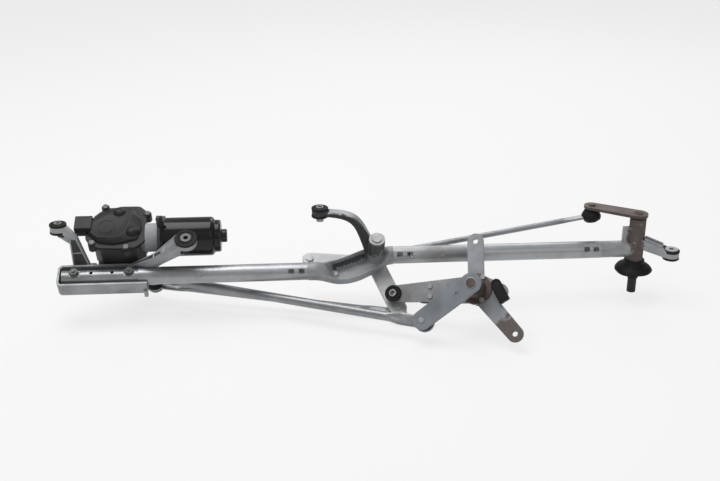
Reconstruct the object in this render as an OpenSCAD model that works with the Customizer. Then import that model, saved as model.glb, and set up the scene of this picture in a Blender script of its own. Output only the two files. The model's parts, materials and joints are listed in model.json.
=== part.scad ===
// Windscreen wiper linkage with its motor, lying on a table with its spindles down.
// The origin is the lower end of the right wiper spindle, X runs along the frame tubes to the right,
// Y runs away from the viewer and Z is up. Lengths are in millimetres.
// Frame coordinates are X, V across the frame's plane and N square to it. Their origin is the point
// where the right tube's axis meets the right spindle.

/* [Frame] */
// Height of the right tube's axis above the table
axis_height = 66; // [62:1:76]
// Lean of the frame's plane towards the viewer, in degrees
frame_tilt = 27; // [24:1:30]
// Outer diameter of both frame tubes
tube_d = 24; // [22:0.5:26]
// Wall of both frame tubes
tube_wall = 2; // [1.5:0.25:2.5]
// Length of the right frame tube
right_tube_len = 293; // [270:1:320]
// Length of the left frame tube
left_tube_len = 229; // [210:1:260]
// Distance from the right spindle to the right tube
right_stub_len = 50; // [44:1:60]
// Length of the centre casting between the two tubes
centre_len = 118; // [112:1:130]
// Offset between the two tubes, across the frame's plane
tube_jog = 24; // [20:1:28]
// Length of each stub inside its tube
stub_insert = 24; // [16:1:30]
// Depth of the crimp notches in the tubes
crimp_depth = 1.2; // [0.6:0.1:1.6]

/* [Motor bracket] */
// Length of the bracket's trough
trough_len = 120; // [110:1:130]
// Outer width of the trough
trough_w = 35; // [33:1:38]
// Wall of the trough
trough_wall = 3; // [2.5:0.5:3.5]
// Radius of the trough's left corners
trough_corner = 7; // [5:0.5:9]
// Height of the trough's rim above the tube's axis
trough_rim = 6; // [4:0.5:7]
// Distance between the two bolts through the tube stub
stub_bolt_span = 73; // [66:1:76]
// Diameter of those bolts
stub_bolt_d = 6; // [5:0.5:8]
// Distance of the left mount from the trough's left end, to the right
left_mount_x = 4; // [0:1:10]
// Distance of the left mount behind the left tube's axis
left_mount_v = 46; // [40:1:52]
// Height of the left mount above the frame's plane
left_mount_n = 50; // [46:1:56]
// Distance of the motor mount to the right of the trough's right end
motor_mount_x = 56; // [52:1:60]
// Distance of the motor mount behind the left tube's axis
motor_mount_v = 11; // [8:1:12]
// Height of the motor mount above the frame's plane
motor_mount_n = 57; // [56:1:62]

/* [Motor] */
// Distance from the left tube's axis back to the motor's axis
motor_v = 44; // [43:0.5:48]
// Height of the motor's axis above the frame's plane
motor_n = 28; // [26:0.5:32]
// Outer diameter of the motor can
can_d = 53; // [50:0.5:56]
// Length of the motor can without its end boss
can_len = 71; // [66:1:78]
// Wall of the motor can
can_wall = 2; // [1.5:0.25:2.5]
// Length of the neck between gear case and motor can
neck_len = 24; // [22:1:28]
// Diameter of the neck
neck_d = 39; // [36:0.5:42]
// Length of the gear case along the tubes
case_len = 67; // [66:1:72]
// Depth of the gear case across the frame
case_depth = 69; // [68:1:76]
// Wall of the gear case
case_wall = 3; // [2:0.5:3.5]
// Height of the gear case
case_height = 38; // [36:1:42]
// Height of the gear cover on the case
cover_height = 8; // [7:0.5:12]
// Wall of the gear cover
cover_wall = 2.5; // [2:0.25:3]
// Teeth of the worm wheel
wheel_teeth = 50; // [40:1:60]
// Outer diameter of the worm wheel
wheel_d = 37.6; // [34:0.2:38]
// Thickness of the worm wheel
wheel_w = 9; // [6:0.5:11]
// Outer diameter of the worm
worm_d = 10; // [8:0.5:11]
// Diameter of the armature's shaft
armature_shaft_d = 8; // [6:0.5:8]
// Diameter of the armature's iron core
core_d = 37.6; // [34:0.2:38.4]
// Diameter of the output shaft
output_d = 12; // [10:0.5:14]

/* [Crank and rods] */
// Length of the crank from shaft to ball pin
crank_len = 44; // [40:0.5:48]
// Direction of the crank in the frame's plane, in degrees
crank_angle = -45; // [-55:1:-35]
// Thickness of the crank, the levers and the bell crank
lever_t = 4; // [3:0.5:5]
// Depth of the crank's upper face below the frame's plane
crank_drop = 36; // [34:0.5:40]
// Diameter of the balls in the rod ends
ball_d = 11; // [10:0.5:12]
// Half the height of a rod end's socket
socket_half = 7.2; // [7:0.1:8]
// Outer diameter of a rod end's socket
socket_d = 22; // [20:0.5:24]
// Diameter of the front rod, to the swing lever
front_rod_d = 12.5; // [10:0.5:13]
// Diameter of the rear rod, to the bell crank
rear_rod_d = 10; // [8:0.5:11]
// Diameter of the link rod, to the right lever
link_rod_d = 8; // [7:0.5:9]
// Length of a rod's flattened end
flat_len = 34; // [28:1:40]

/* [Bell crank] */
// Distance of the bell crank's pivot to the left of the right tube
bell_x = 23; // [20:0.5:28]
// Distance of the bell crank's pivot behind the right tube's axis
bell_v = 3; // [1:0.5:5]
// Length of the arm that the rear rod drives
strap_len = 82; // [76:0.5:88]
// Direction of that arm, in degrees
strap_angle = -72; // [-78:1:-66]
// Width of that arm
strap_w = 25; // [22:0.5:28]
// Length of the arm that drives the link rod
link_arm_len = 92; // [86:0.5:98]
// Direction of that arm, in degrees
link_arm_angle = 173; // [171:0.5:176]
// Diameter of the bell crank's shaft
bell_shaft_d = 14; // [12:0.5:15]
// Diameter of the centre casting's boss
centre_boss_d = 22.6; // [22:0.2:26]
// Height of the boss above the frame's plane
centre_boss_n = 30; // [26:0.5:36]
// Distance of the centre mount to the left of the boss
centre_mount_x = 77; // [70:1:84]
// Distance of the centre mount behind the right tube's axis
centre_mount_v = 33; // [28:1:38]
// Height of the centre mount above the frame's plane
centre_mount_n = 57; // [52:1:64]

/* [Right pivot] */
// Diameter of the wiper spindles
spindle_d = 13; // [11:0.5:14]
// Diameter of the spindles' free ends
spindle_end_d = 12.4; // [10:0.2:13]
// Length of the right spindle's free end
spindle_end_len = 20; // [16:1:24]
// Outer diameter of the right bearing tube
bearing_d = 22.6; // [21:0.2:26]
// Length of the bearing tube below the right tube's axis
bearing_below = 22; // [18:1:26]
// Length of the bearing tube above the right tube's axis
bearing_above = 46; // [40:1:52]
// Length of the right lever from spindle to ball
right_lever_len = 67; // [62:0.5:72]
// Direction of the right lever, in degrees
right_lever_angle = 148; // [143:1:153]
// Diameter of the dust cap
cap_d = 53; // [46:1:56]
// Distance of the right mount from the spindle
right_mount_len = 49; // [44:1:56]
// Direction of the right mount from the spindle, in degrees
right_mount_angle = -23; // [-30:1:-15]

/* [Mounts] */
// Diameter of the bolt holes in the mount sleeves
sleeve_bore = 6.5; // [5.5:0.5:8]
// Outer diameter of the mount sleeves
sleeve_d = 10; // [9.5:0.5:11]
// Flange diameter of the small rubber grommets
grommet_d = 23; // [21:0.5:26]
// Flange diameter of the motor mount's rubber grommet
motor_grommet_d = 30; // [27:0.5:32]
// Thickness of the eyes that hold the grommets
eye_t = 7; // [6:0.5:9]
// Thickness of a grommet's flange
grommet_flange = 3.5; // [2.5:0.5:4.5]
// Radius of the motor mount sleeve's head
motor_head_r = 7; // [6:0.5:9]
// Radius of the right mount sleeve's head
right_head_r = 9; // [6:0.5:10]
// Length by which the centre mount's sleeve reaches further down
centre_foot = 5; // [0:0.5:8]

/* [Swing pivot] */
// Distance of the swing pivot to the right of the right tube's left end
swing_x = 91; // [89:1:93]
// Distance of the swing pivot in front of the right spindle
swing_y = 110; // [108:1:112]
// Height of the swing lever's upper face on its spindle
swing_z = 72; // [71:1:74]
// Lean of the swing spindle towards the viewer, in degrees
swing_lean = 43; // [40:1:46]
// Roll of the swing spindle to the left, in degrees
swing_roll = -31; // [-34:1:-28]
// Length of the swing lever from spindle to ball
swing_lever_len = 80; // [75:0.5:85]
// Direction of the swing lever on its spindle, in degrees
swing_lever_angle = 188; // [184:1:192]
// Width of the swing lever
swing_lever_w = 26; // [24:0.5:30]
// Outer diameter of the swing spindle's bearing
swing_bearing_d = 28; // [24:0.5:30]
// Length of the swing spindle's bearing
swing_bearing_len = 46; // [42:1:52]
// Depth of the swing bracket below the lever's upper face
swing_bracket_drop = 31; // [29:0.5:34]
// Thickness of the swing bracket's sheet
sheet_t = 3; // [2:0.5:3.5]
// Diameter of the swing bracket's bolt holes
swing_hole_d = 7.2; // [6.5:0.1:9]
// Length of the swing bracket's upper arm
swing_upper_len = 67; // [62:1:72]
// Length of the swing bracket's lower arm
swing_lower_len = 81; // [76:1:86]
// Length of the swing bracket's left arm up to its rubber mount
swing_left_len = 114; // [108:1:120]

/* [Hidden] */
$fn = 64;

// Small gap between pieces that are pressed or seated together
seat = 0.03;
// Radial gap of a running fit
run = 0.05;
// Gap across which two moving faces pass each other
pass = 0.4;
// Gap between the right lever and the link rod's stud
link_gap = 1.8;
// Overlap that joins two shapes of one piece, and that lets a cut run past a face
join = 0.5;

// Colours
zinc = [0.62, 0.63, 0.63];
cast_grey = [0.72, 0.72, 0.71];
black_plastic = [0.10, 0.10, 0.11];
black_paint = [0.05, 0.05, 0.06];
rubber = [0.08, 0.08, 0.08];
steel = [0.75, 0.75, 0.76];
rusty = [0.42, 0.33, 0.26];
dark_steel = [0.22, 0.20, 0.19];
copper = [0.72, 0.42, 0.22];
bronze = [0.65, 0.50, 0.28];
cream = [0.80, 0.76, 0.62];

// Places along the tubes
tube_r = tube_d / 2;
stub_r = tube_r - tube_wall - seat;
right_tube_x = -right_stub_len - right_tube_len;
left_tube_end = right_tube_x - centre_len;
left_tube_x = left_tube_end - left_tube_len;
left_v = -tube_jog;

// Bracket trough
trough_right = left_tube_x + 12;
trough_left = trough_right - trough_len;
trough_floor = -tube_r - 3;
trough_back = left_v + trough_w / 2;
bolt_xs = [left_tube_x - 12 - stub_bolt_span, left_tube_x - 12];
arm_base_len = 30;
arm_base_t = 5;
arm_bolt_xs = [trough_left + 37, trough_left + 46.5];
arm_bolt_n = trough_floor + 11;
left_mount = [trough_left + left_mount_x, left_v + left_mount_v, left_mount_n];
motor_mount = [trough_right + motor_mount_x, left_v + motor_mount_v, motor_mount_n];

// Motor, gear case and cover
motor_y = left_v + motor_v;
case_right = left_tube_x + 8;
case_left = case_right - case_len;
case_front = motor_y - 21;
case_back = case_front + case_depth;
case_floor = motor_n + wheel_w / 2 + 1.5 - case_height;
case_top = case_floor + case_height;
case_base_t = 6;
case_cut = 10;
cover_top = case_top + cover_height;
lip = 2.5;
wheel_r = wheel_d / 2;
worm_r = worm_d / 2;
wheel_y = motor_y + wheel_r + worm_r + 0.2;
wheel_x = case_right - case_wall - wheel_r - 4;
wheel_z = motor_n - wheel_w / 2;
neck_x = case_right + neck_len;
neck_start = case_right + lip + 0.3;
can_r = can_d / 2;
can_flange_r = can_r + 2.5;
can_flange_t = 4;
can_end = neck_x + can_len;
can_step_len = 9;
can_boss_len = 8;
can_boss_r = 9;
armature_r = armature_shaft_d / 2;
output_r = output_d / 2;
bush_wall = 2.5;
output_boss_r = output_r + bush_wall + 4.5;
output_boss_end = -crank_drop + 3;
screw_places = [[case_left - 1, case_front + 6], [case_right - 22, case_front - 3],
                [case_right + 3, case_back - 13], [case_left + 12, case_back + 1]];
screw_head_r = 3.7;
screw_ear_r = 5.5;
bolt_places = [[case_left + 9, case_front + 14], [case_left + 9, case_back - 14],
               [case_right - 16, case_front + 10]];
ear_n = can_flange_r + 8;
block_len = 26;
block_w = 24;
block_h = 16;
block_v = motor_y + 16;
block_n = case_top - 5;

// Crank and the ball levels on its pin
pin_x = wheel_x + crank_len * cos(crank_angle);
pin_y = wheel_y + crank_len * sin(crank_angle);
ball_r = ball_d / 2;
socket_r = socket_d / 2;
neck_r = 4;
waist_r = socket_r - 2;
eye_half = 2;
crank_under = -crank_drop - lever_t;
upper_ball = [pin_x, pin_y, crank_under - 3.3 - socket_half];
lower_ball = upper_ball - [0, 0, 2 * socket_half + 3 * pass];

// Bell crank, its arms and its balls
bell = [right_tube_x - bell_x, bell_v];
strap_end = bell + strap_len * [cos(strap_angle), sin(strap_angle)];
link_end = bell + link_arm_len * [cos(link_arm_angle), sin(link_arm_angle)];
casting_under = -tube_r - 2;
plate_top = casting_under - 6;
plate_under = plate_top - lever_t;
strap_ball = [strap_end.x, strap_end.y, plate_under - pass - 2 - socket_half];
link_ball = [link_end.x, link_end.y, plate_under - 9 - socket_half];
bell_shaft_r = bell_shaft_d / 2;
centre_mount = [bell.x - centre_mount_x, centre_mount_v, centre_mount_n];

// Right pivot, in table coordinates
spindle_r = spindle_d / 2;
bearing_low = axis_height - bearing_below;
bearing_top = axis_height + bearing_above;
right_lever_z = bearing_top + 3;
right_lever_end = right_lever_len * [cos(right_lever_angle), sin(right_lever_angle)];
right_mount = right_mount_len * [cos(right_mount_angle), sin(right_mount_angle)];
right_mount_z = axis_height - 2;
right_ball_world = [right_lever_end.x, right_lever_end.y, right_lever_z - link_gap - 3 - socket_half];

// Swing pivot, in its own coordinates: the spindle's axis is Z and the lever's upper face is Z = 0
swing_pos = [right_tube_x + swing_x, -swing_y, swing_z];
swing_end = swing_lever_len * [cos(swing_lever_angle), sin(swing_lever_angle)];
swing_ball_z = -lever_t - 4 - socket_half;
swing_bearing_top = -lever_t - 6;
swing_bearing_low = swing_bearing_top - swing_bearing_len;
swing_bearing_r = swing_bearing_d / 2;
sheet_top = -swing_bracket_drop;
sheet_low = sheet_top - sheet_t;
swing_upper = swing_upper_len * [cos(64), sin(64)];
swing_lower = swing_lower_len * [cos(-78), sin(-78)];
swing_left = swing_left_len * [cos(153), sin(153)];
swing_left_mid = 0.62 * swing_left;
swing_plate_start = 0.46 * swing_left;
swing_strap_r = 11;
swing_wide_r = 15;
arm_rivets = [for (s = [-1, 1]) 0.55 * swing_left + s * 7 * [-sin(153), cos(153)]];
flange_r = swing_bearing_r + 7;
flange_rivet_r = swing_bearing_r + 3.5;
seal_len = 12;
pad_place = [flange_r + 5, -19];
pad_size = [15, 34, 9];

// Vectors turned about X and Y, and the changes between the coordinate systems
function turn_x(p, a) = [p.x, p.y * cos(a) - p.z * sin(a), p.y * sin(a) + p.z * cos(a)];
function turn_y(p, a) = [p.x * cos(a) + p.z * sin(a), p.y, p.z * cos(a) - p.x * sin(a)];
function frame_from_world(p) = turn_x(p - [0, 0, axis_height], -frame_tilt);
function world_from_swing(p) = swing_pos + turn_y(turn_x(p, swing_lean), swing_roll);

right_ball = frame_from_world(right_ball_world);
swing_ball_at = frame_from_world(world_from_swing([swing_end.x, swing_end.y, swing_ball_z]));

// Turn about a rod from p to q that brings its upper side to face the direction up
function rod_twist(p, q, up) = let (d = (q - p) / norm(q - p),
    side = cross([0, 0, 1], d) / norm(cross([0, 0, 1], d)))
    atan2(-(up * side), up * cross(d, side));

front_twist = rod_twist(upper_ball, swing_ball_at,
    turn_x(turn_y(turn_x([0, 0, 1], swing_lean), swing_roll), -frame_tilt));
link_twist = rod_twist(link_ball, right_ball, turn_x([0, 0, 1], -frame_tilt));

module in_frame() {
    translate([0, 0, axis_height]) rotate([frame_tilt, 0, 0]) children();
}

module in_swing() {
    translate(swing_pos) rotate([swing_lean, swing_roll, 0]) children();
}

// Stands the children on a frame point with their Z axis upright on the table
module upright_at(p) {
    translate(p) rotate([-frame_tilt, 0, 0]) children();
}

// Lays the children's Z axis along X
module along_x() {
    rotate([0, 90, 0]) children();
}

// Lays the children's X axis from p towards q
module aim(p, q) {
    d = q - p;
    translate(p) rotate([0, -asin(d.z / norm(d)), atan2(d.y, d.x)]) children();
}

// Flat link of thickness t from p to q with round ends
module link_plate(p, q, rp, rq, t) {
    linear_extrude(t) hull() {
        translate(p) circle(rp);
        translate(q) circle(rq);
    }
}

// Hole of radius r right through a plate of thickness t
module plate_hole(p, r, t) {
    translate([p.x, p.y, -join]) cylinder(r = r, h = t + 2 * join);
}

module ring(r_out, r_in, h) {
    difference() {
        cylinder(r = r_out, h = h);
        translate([0, 0, -join]) cylinder(r = r_in, h = h + 2 * join);
    }
}

// Hexagon head with the given width across its flats
module hex_head(flats, h) {
    cylinder(d = flats / cos(30), h = h, $fn = 6);
}

// Rubber grommet seated in an eye of thickness eye and bore groove, centred on the eye
module grommet(flange_d, groove_r, eye) {
    half = eye / 2;
    rotate_extrude() polygon([[sleeve_d / 2 + seat, -half - grommet_flange],
        [flange_d / 2, -half - grommet_flange],
        [flange_d / 2, -half - seat], [groove_r - seat, -half - seat], [groove_r - seat, half + seat],
        [flange_d / 2, half + seat], [flange_d / 2, half + grommet_flange],
            [sleeve_d / 2 + seat, half + grommet_flange]]);
}

// Steel sleeve of a grommet, with a head of radius head_r on it and a foot that reaches further down
module mount_sleeve(eye, head_r, foot) {
    half = eye / 2 + grommet_flange + 1;
    translate([0, 0, -half - foot]) ring(sleeve_d / 2, sleeve_bore / 2, 2 * half + foot);
    if (head_r > sleeve_d / 2)
        translate([0, 0, half - 1 + seat]) ring(head_r, sleeve_bore / 2, 1 - seat);
}

// Bore of the eye that holds a grommet
function groove_r(flange_d) = flange_d / 2 - 3.5;

// Outline of the gear case, grown by g
module case_outline(g) {
    l = case_left - g;
    r = case_right + g;
    f = case_front - g;
    b = case_back + g;
    c = case_cut;
    polygon([[l, f + c], [l + c, f], [r - c, f], [r, f + c], [r, b - c], [r - c, b], [l + 1.5 * c, b],
        [l, b - 1.5 * c]]);
}

// Trough outline with round left corners, made smaller by g
module trough_outline(g) {
    past = g > 0 ? join : 0;
    inset = trough_w / 2 - trough_corner;
    for (s = [-1, 1])
        translate([trough_left + trough_corner, left_v + s * inset]) circle(trough_corner - g);
    translate([trough_left + g, left_v - inset]) square([trough_len - g + past, 2 * inset]);
    translate([trough_left + trough_corner, left_v - trough_w / 2 + g])
        square([trough_len - trough_corner + past, trough_w - 2 * g]);
}

// Crimp notches pressed into a tube from above, each at one of xs, on the tube's axis at v
module crimps(xs, v) {
    for (x = xs)
        translate([x - 4, v - 4, tube_r - crimp_depth]) cube([8, 8, tube_r]);
}

module motor_bracket() {
    elbow = [neck_x - 9, motor_mount.y - 9, motor_n - 6];
    plate_low = case_floor - 6;
    color(cast_grey) in_frame() difference() {
        union() {
            // Trough with saddles under the tube stub
            translate([0, 0, trough_floor]) linear_extrude(trough_rim - trough_floor) difference() {
                trough_outline(0);
                trough_outline(trough_wall);
            }
            translate([0, 0, trough_floor]) linear_extrude(3) trough_outline(0);
            for (x = bolt_xs)
                translate([x - 9, left_v - trough_w / 2 + 1, trough_floor + 1])
                    cube([18, trough_w - 2, -trough_floor - 5]);
            // Lip at the right end of the front wall
            translate([trough_right - 5, left_v - trough_w / 2 - 3, trough_floor - 5]) cube([5, 5, 12]);
            // Plate under the gear case
            translate([case_left + 2, trough_back - trough_wall, plate_low])
                cube([case_len - 4, bolt_places[0].y + 10 - trough_back + trough_wall, 6]);
            translate([0, 0, plate_low]) link_plate([wheel_x, wheel_y], bolt_places[1], output_boss_r + 7,
                9, 6);
            translate([case_left + 2, trough_back, plate_low])
                cube([wheel_x - case_left, wheel_y - trough_back, 6]);
            translate([case_left + 2, trough_back - trough_wall, trough_floor])
                cube([case_len - 4, trough_wall, plate_low + 6 - trough_floor]);
            // Arm up to the motor mount, in front of the motor can
            hull() {
                translate([trough_right - 28, trough_back - trough_wall - 1.5, trough_floor + 3])
                    cube([22, trough_wall + 1.5, 15]);
                translate(elbow) cube([11, 8, 12]);
            }
            hull() {
                translate(elbow) cube([11, 8, 12]);
                translate(motor_mount - [0, 0, eye_t / 2])
                    cylinder(d = motor_grommet_d - 1, h = eye_t, $fn = 32);
            }
            translate(motor_mount - [0, 0, eye_t / 2]) cylinder(r = motor_grommet_d / 2 - 0.5, h = eye_t);
        }
        // Room for the tube stub and the end of the left tube
        translate([trough_left + trough_wall, left_v, 0]) along_x()
            cylinder(r = stub_r + seat, h = trough_len);
        translate([left_tube_x - seat, left_v, 0]) along_x() cylinder(r = tube_r + seat, h = trough_len);
        translate([trough_left + 8, left_v - stub_r - 1, -1]) cube([trough_len, 2 * (stub_r + 1), tube_r]);
        // Bolt holes of the tube stub, the gear case and the output boss
        for (x = bolt_xs)
            translate([x, left_v, trough_floor - join]) cylinder(d = stub_bolt_d + 2 * seat, h = tube_r);
        for (p = bolt_places)
            translate([p.x, p.y, plate_low - join]) cylinder(r = 3 + seat, h = 7);
        translate([wheel_x, wheel_y, plate_low - join]) cylinder(r = output_boss_r + 0.3, h = 7);
        // Eye of the grommet
        translate(motor_mount - [0, 0, eye_t]) cylinder(r = groove_r(motor_grommet_d), h = 2 * eye_t);
        translate(motor_mount + [0, 0, eye_t / 2]) cylinder(r = motor_grommet_d / 2 + 1, h = eye_t);
        translate(motor_mount - [0, 0, eye_t * 1.5]) cylinder(r = motor_grommet_d / 2 + 0.5, h = eye_t);
        arm_bolt_holes();
    }
}

// Holes of the bolts that hold the left arm
module arm_bolt_holes() {
    for (x = arm_bolt_xs)
        translate([x, trough_back - trough_wall - join, arm_bolt_n]) rotate([-90, 0, 0])
            cylinder(r = 2.5 + seat, h = trough_wall + arm_base_t);
}

// Arm of the left mount, with a base on the trough's back wall
module left_arm() {
    base = [trough_left + 20, trough_back + seat, trough_floor + 4];
    elbow = left_mount + [14, -12, -20];
    color(cast_grey) in_frame() difference() {
        union() {
            translate(base) cube([arm_base_len, arm_base_t, 14]);
            hull() {
                translate(base) cube([22, arm_base_t, 14]);
                translate(elbow) cube([10, 8, 10]);
            }
            hull() {
                translate(elbow) cube([10, 8, 10]);
                upright_at(left_mount) translate([0, 0, -eye_t / 2])
                    cylinder(d = grommet_d - 1, h = eye_t, $fn = 32);
            }
        }
        upright_at(left_mount) {
            translate([0, 0, -eye_t]) cylinder(r = groove_r(grommet_d), h = 2 * eye_t);
            translate([0, 0, eye_t / 2]) cylinder(d = grommet_d + 1, h = eye_t);
            translate([0, 0, -eye_t * 1.5]) cylinder(d = grommet_d + 1, h = eye_t);
        }
        arm_bolt_holes();
    }
}

module tube_stub() {
    color(zinc) in_frame() difference() {
        translate([trough_left + trough_wall + 3, left_v, 0]) along_x()
            ring(stub_r, stub_r - tube_wall, left_tube_x + stub_insert - trough_left - trough_wall - 3);
        for (x = bolt_xs)
            translate([x, left_v, -tube_r]) cylinder(d = stub_bolt_d + 2 * seat, h = tube_d);
        for (x = bolt_xs)
            translate([x - 7, left_v - 7, stub_r - 1.2]) cube([14, 14, 3]);
        for (s = [-1, 1])
            translate([(bolt_xs[0] + bolt_xs[1]) / 2 + s * 14, left_v, 0]) cylinder(d = 4.5, h = tube_d);
    }
}

// Bolts of the tube stub, the gear case and the left arm
module bracket_bolts() {
    head_low = stub_r - 1.2 + seat;
    plate_low = case_floor - 6;
    color(steel) in_frame() {
        for (x = bolt_xs)
            translate([x, left_v, 0]) {
                translate([0, 0, trough_floor - 4])
                    cylinder(d = stub_bolt_d, h = head_low + 4 - trough_floor);
                translate([0, 0, head_low]) cylinder(d = 2.1 * stub_bolt_d, h = 1.5);
                translate([0, 0, head_low + 1]) hex_head(1.65 * stub_bolt_d, 4.5);
                translate([0, 0, head_low + 5]) cylinder(d = 0.8 * stub_bolt_d, h = 2.5);
            }
        for (p = bolt_places)
            translate([p.x, p.y, plate_low]) {
                translate([0, 0, -join]) cylinder(r = 3, h = 6 + case_base_t - 1.5 + join);
                translate([0, 0, -5 - seat]) hex_head(10, 5);
            }
        for (x = arm_bolt_xs)
            translate([x, trough_back - trough_wall, arm_bolt_n]) rotate([-90, 0, 0]) {
                translate([0, 0, -join]) cylinder(r = 2.5, h = trough_wall + arm_base_t - 1);
                translate([0, 0, -3 - seat]) hex_head(7, 3);
            }
    }
}

module left_frame_tube() {
    color(zinc) in_frame() difference() {
        translate([left_tube_x, left_v, 0]) along_x() ring(tube_r, tube_r - tube_wall, left_tube_len);
        crimps([left_tube_end - 9, left_tube_end - 23], left_v);
        translate([left_tube_x + 84, left_v, tube_r - 1]) cylinder(d = 7, h = 3);
    }
}

module right_frame_tube() {
    end = right_tube_x + right_tube_len;
    color(zinc) in_frame() difference() {
        translate([right_tube_x, 0, 0]) along_x() ring(tube_r, tube_r - tube_wall, right_tube_len);
        crimps([right_tube_x + 9, right_tube_x + 23, end - 9, end - 22], 0);
        translate([right_tube_x + 68, 0, tube_r - 1]) cylinder(d = 7, h = 3);
    }
}

// Outline of the centre casting's channel, made smaller by g
module centre_outline(g) {
    h = tube_r + 2 - g;
    l = left_tube_end + seat + g;
    r = right_tube_x - seat - g;
    polygon([[l, left_v - h], [l + 0.3 * centre_len, left_v - h], [r - 0.33 * centre_len, -h], [r, -h],
             [r, h], [r - 0.42 * centre_len, h], [l + 0.24 * centre_len, left_v + h], [l, left_v + h]]);
}

module centre_casting() {
    elbow = [bell.x - 0.42 * centre_mount_x, 0.72 * centre_mount.y, centre_mount.z - 8];
    color(cast_grey) in_frame() difference() {
        union() {
            // Channel with its rims, and a collar at each tube
            translate([0, 0, casting_under]) linear_extrude(tube_r + 6) difference() {
                centre_outline(0);
                centre_outline(4);
            }
            translate([0, 0, casting_under]) linear_extrude(5) centre_outline(0);
            translate([left_tube_end - stub_insert, left_v, 0]) along_x()
                cylinder(r = stub_r, h = stub_insert + 4);
            translate([left_tube_end + seat, left_v, 0]) along_x() cylinder(r = tube_r + 0.6, h = 14);
            translate([right_tube_x - 4, 0, 0]) along_x() cylinder(r = stub_r, h = stub_insert + 4);
            translate([right_tube_x - seat - 12, 0, 0]) along_x() cylinder(r = tube_r + 0.6, h = 12);
            // Boss of the bell crank's shaft
            translate([bell.x, bell.y, casting_under])
                cylinder(d = centre_boss_d, h = centre_boss_n - casting_under);
            // Curved arm to the centre mount
            hull() {
                translate([bell.x, bell.y, centre_boss_n - 26])
                    cylinder(d = centre_boss_d - 2, h = 22, $fn = 32);
                translate(elbow) cylinder(d = 15, h = 11, center = true, $fn = 32);
            }
            hull() {
                translate(elbow) cylinder(d = 15, h = 11, center = true, $fn = 32);
                upright_at(centre_mount) translate([0, 0, -eye_t / 2])
                    cylinder(d = grommet_d - 1, h = eye_t, $fn = 32);
            }
        }
        translate([bell.x, bell.y, casting_under - join])
            cylinder(r = bell_shaft_r + bush_wall + seat, h = centre_boss_n - casting_under + 2 * join);
        translate([bell.x, bell.y, centre_boss_n]) cylinder(d = centre_boss_d + 8, h = 30);
        // Round ejector mark
        translate([left_tube_end + 34, left_v + 4, casting_under + 4.2]) cylinder(d = 7, h = 2);
        upright_at(centre_mount) {
            translate([0, 0, -eye_t]) cylinder(r = groove_r(grommet_d), h = 2 * eye_t);
            translate([0, 0, eye_t / 2]) cylinder(d = grommet_d + 1, h = eye_t);
            translate([0, 0, -eye_t * 1.5]) cylinder(d = grommet_d + 1, h = eye_t);
        }
    }
}

module right_pivot_housing() {
    color(cast_grey) difference() {
        union() {
            translate([0, 0, bearing_low]) cylinder(d = bearing_d, h = bearing_top - bearing_low);
            // Stub into the right tube, with its shoulder
            translate([-right_stub_len - stub_insert, 0, axis_height]) along_x()
                cylinder(r = stub_r, h = right_stub_len + stub_insert);
            translate([seat - right_stub_len, 0, axis_height]) along_x()
                cylinder(r = tube_r - 0.4, h = right_stub_len);
            // Gusset above the stub
            translate([-bearing_d / 2 - 9, -2.5, axis_height]) cube([12, 5, 0.72 * bearing_above]);
            // Arm to the right mount
            hull() {
                translate([0, 0, right_mount_z + 7]) cylinder(d = 16, h = 0.3 * bearing_above, $fn = 32);
                translate([right_mount.x, right_mount.y, right_mount_z - eye_t / 2])
                    cylinder(d = grommet_d - 1, h = eye_t, $fn = 32);
            }
        }
        translate([0, 0, bearing_low - join])
            cylinder(r = spindle_r + bush_wall + seat, h = bearing_top - bearing_low + 2 * join);
        translate([right_mount.x, right_mount.y, right_mount_z]) {
            translate([0, 0, -eye_t]) cylinder(r = groove_r(grommet_d), h = 2 * eye_t);
            translate([0, 0, eye_t / 2]) cylinder(d = grommet_d + 1, h = bearing_above);
            translate([0, 0, -eye_t * 1.5]) cylinder(d = grommet_d + 1, h = eye_t);
        }
    }
}

module left_grommet() {
    color(rubber) in_frame() upright_at(left_mount) grommet(grommet_d, groove_r(grommet_d), eye_t);
}

module left_sleeve() {
    color(steel) in_frame() upright_at(left_mount) mount_sleeve(eye_t, 0, 0);
}

module motor_grommet() {
    color(rubber) in_frame() translate(motor_mount)
        grommet(motor_grommet_d, groove_r(motor_grommet_d), eye_t);
}

module motor_sleeve() {
    color(steel) in_frame() translate(motor_mount) mount_sleeve(eye_t, motor_head_r, 0);
}

module centre_grommet() {
    color(rubber) in_frame() upright_at(centre_mount) grommet(grommet_d, groove_r(grommet_d), eye_t);
}

module centre_sleeve() {
    color(steel) in_frame() upright_at(centre_mount) mount_sleeve(eye_t, 0, centre_foot);
}

module right_grommet() {
    color(rubber) translate([right_mount.x, right_mount.y, right_mount_z])
        grommet(grommet_d, groove_r(grommet_d), eye_t);
}

module right_sleeve() {
    color(steel) translate([right_mount.x, right_mount.y, right_mount_z])
        mount_sleeve(eye_t, right_head_r, 0);
}

// Ears of the motor can's flange, at its top and bottom
module can_ears(t) {
    for (s = [-1, 1])
        translate([0, s * 0, s * ear_n]) along_x() cylinder(r = 5, h = t);
    translate([0, -5, -ear_n]) cube([t, 10, 2 * ear_n]);
}

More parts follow.
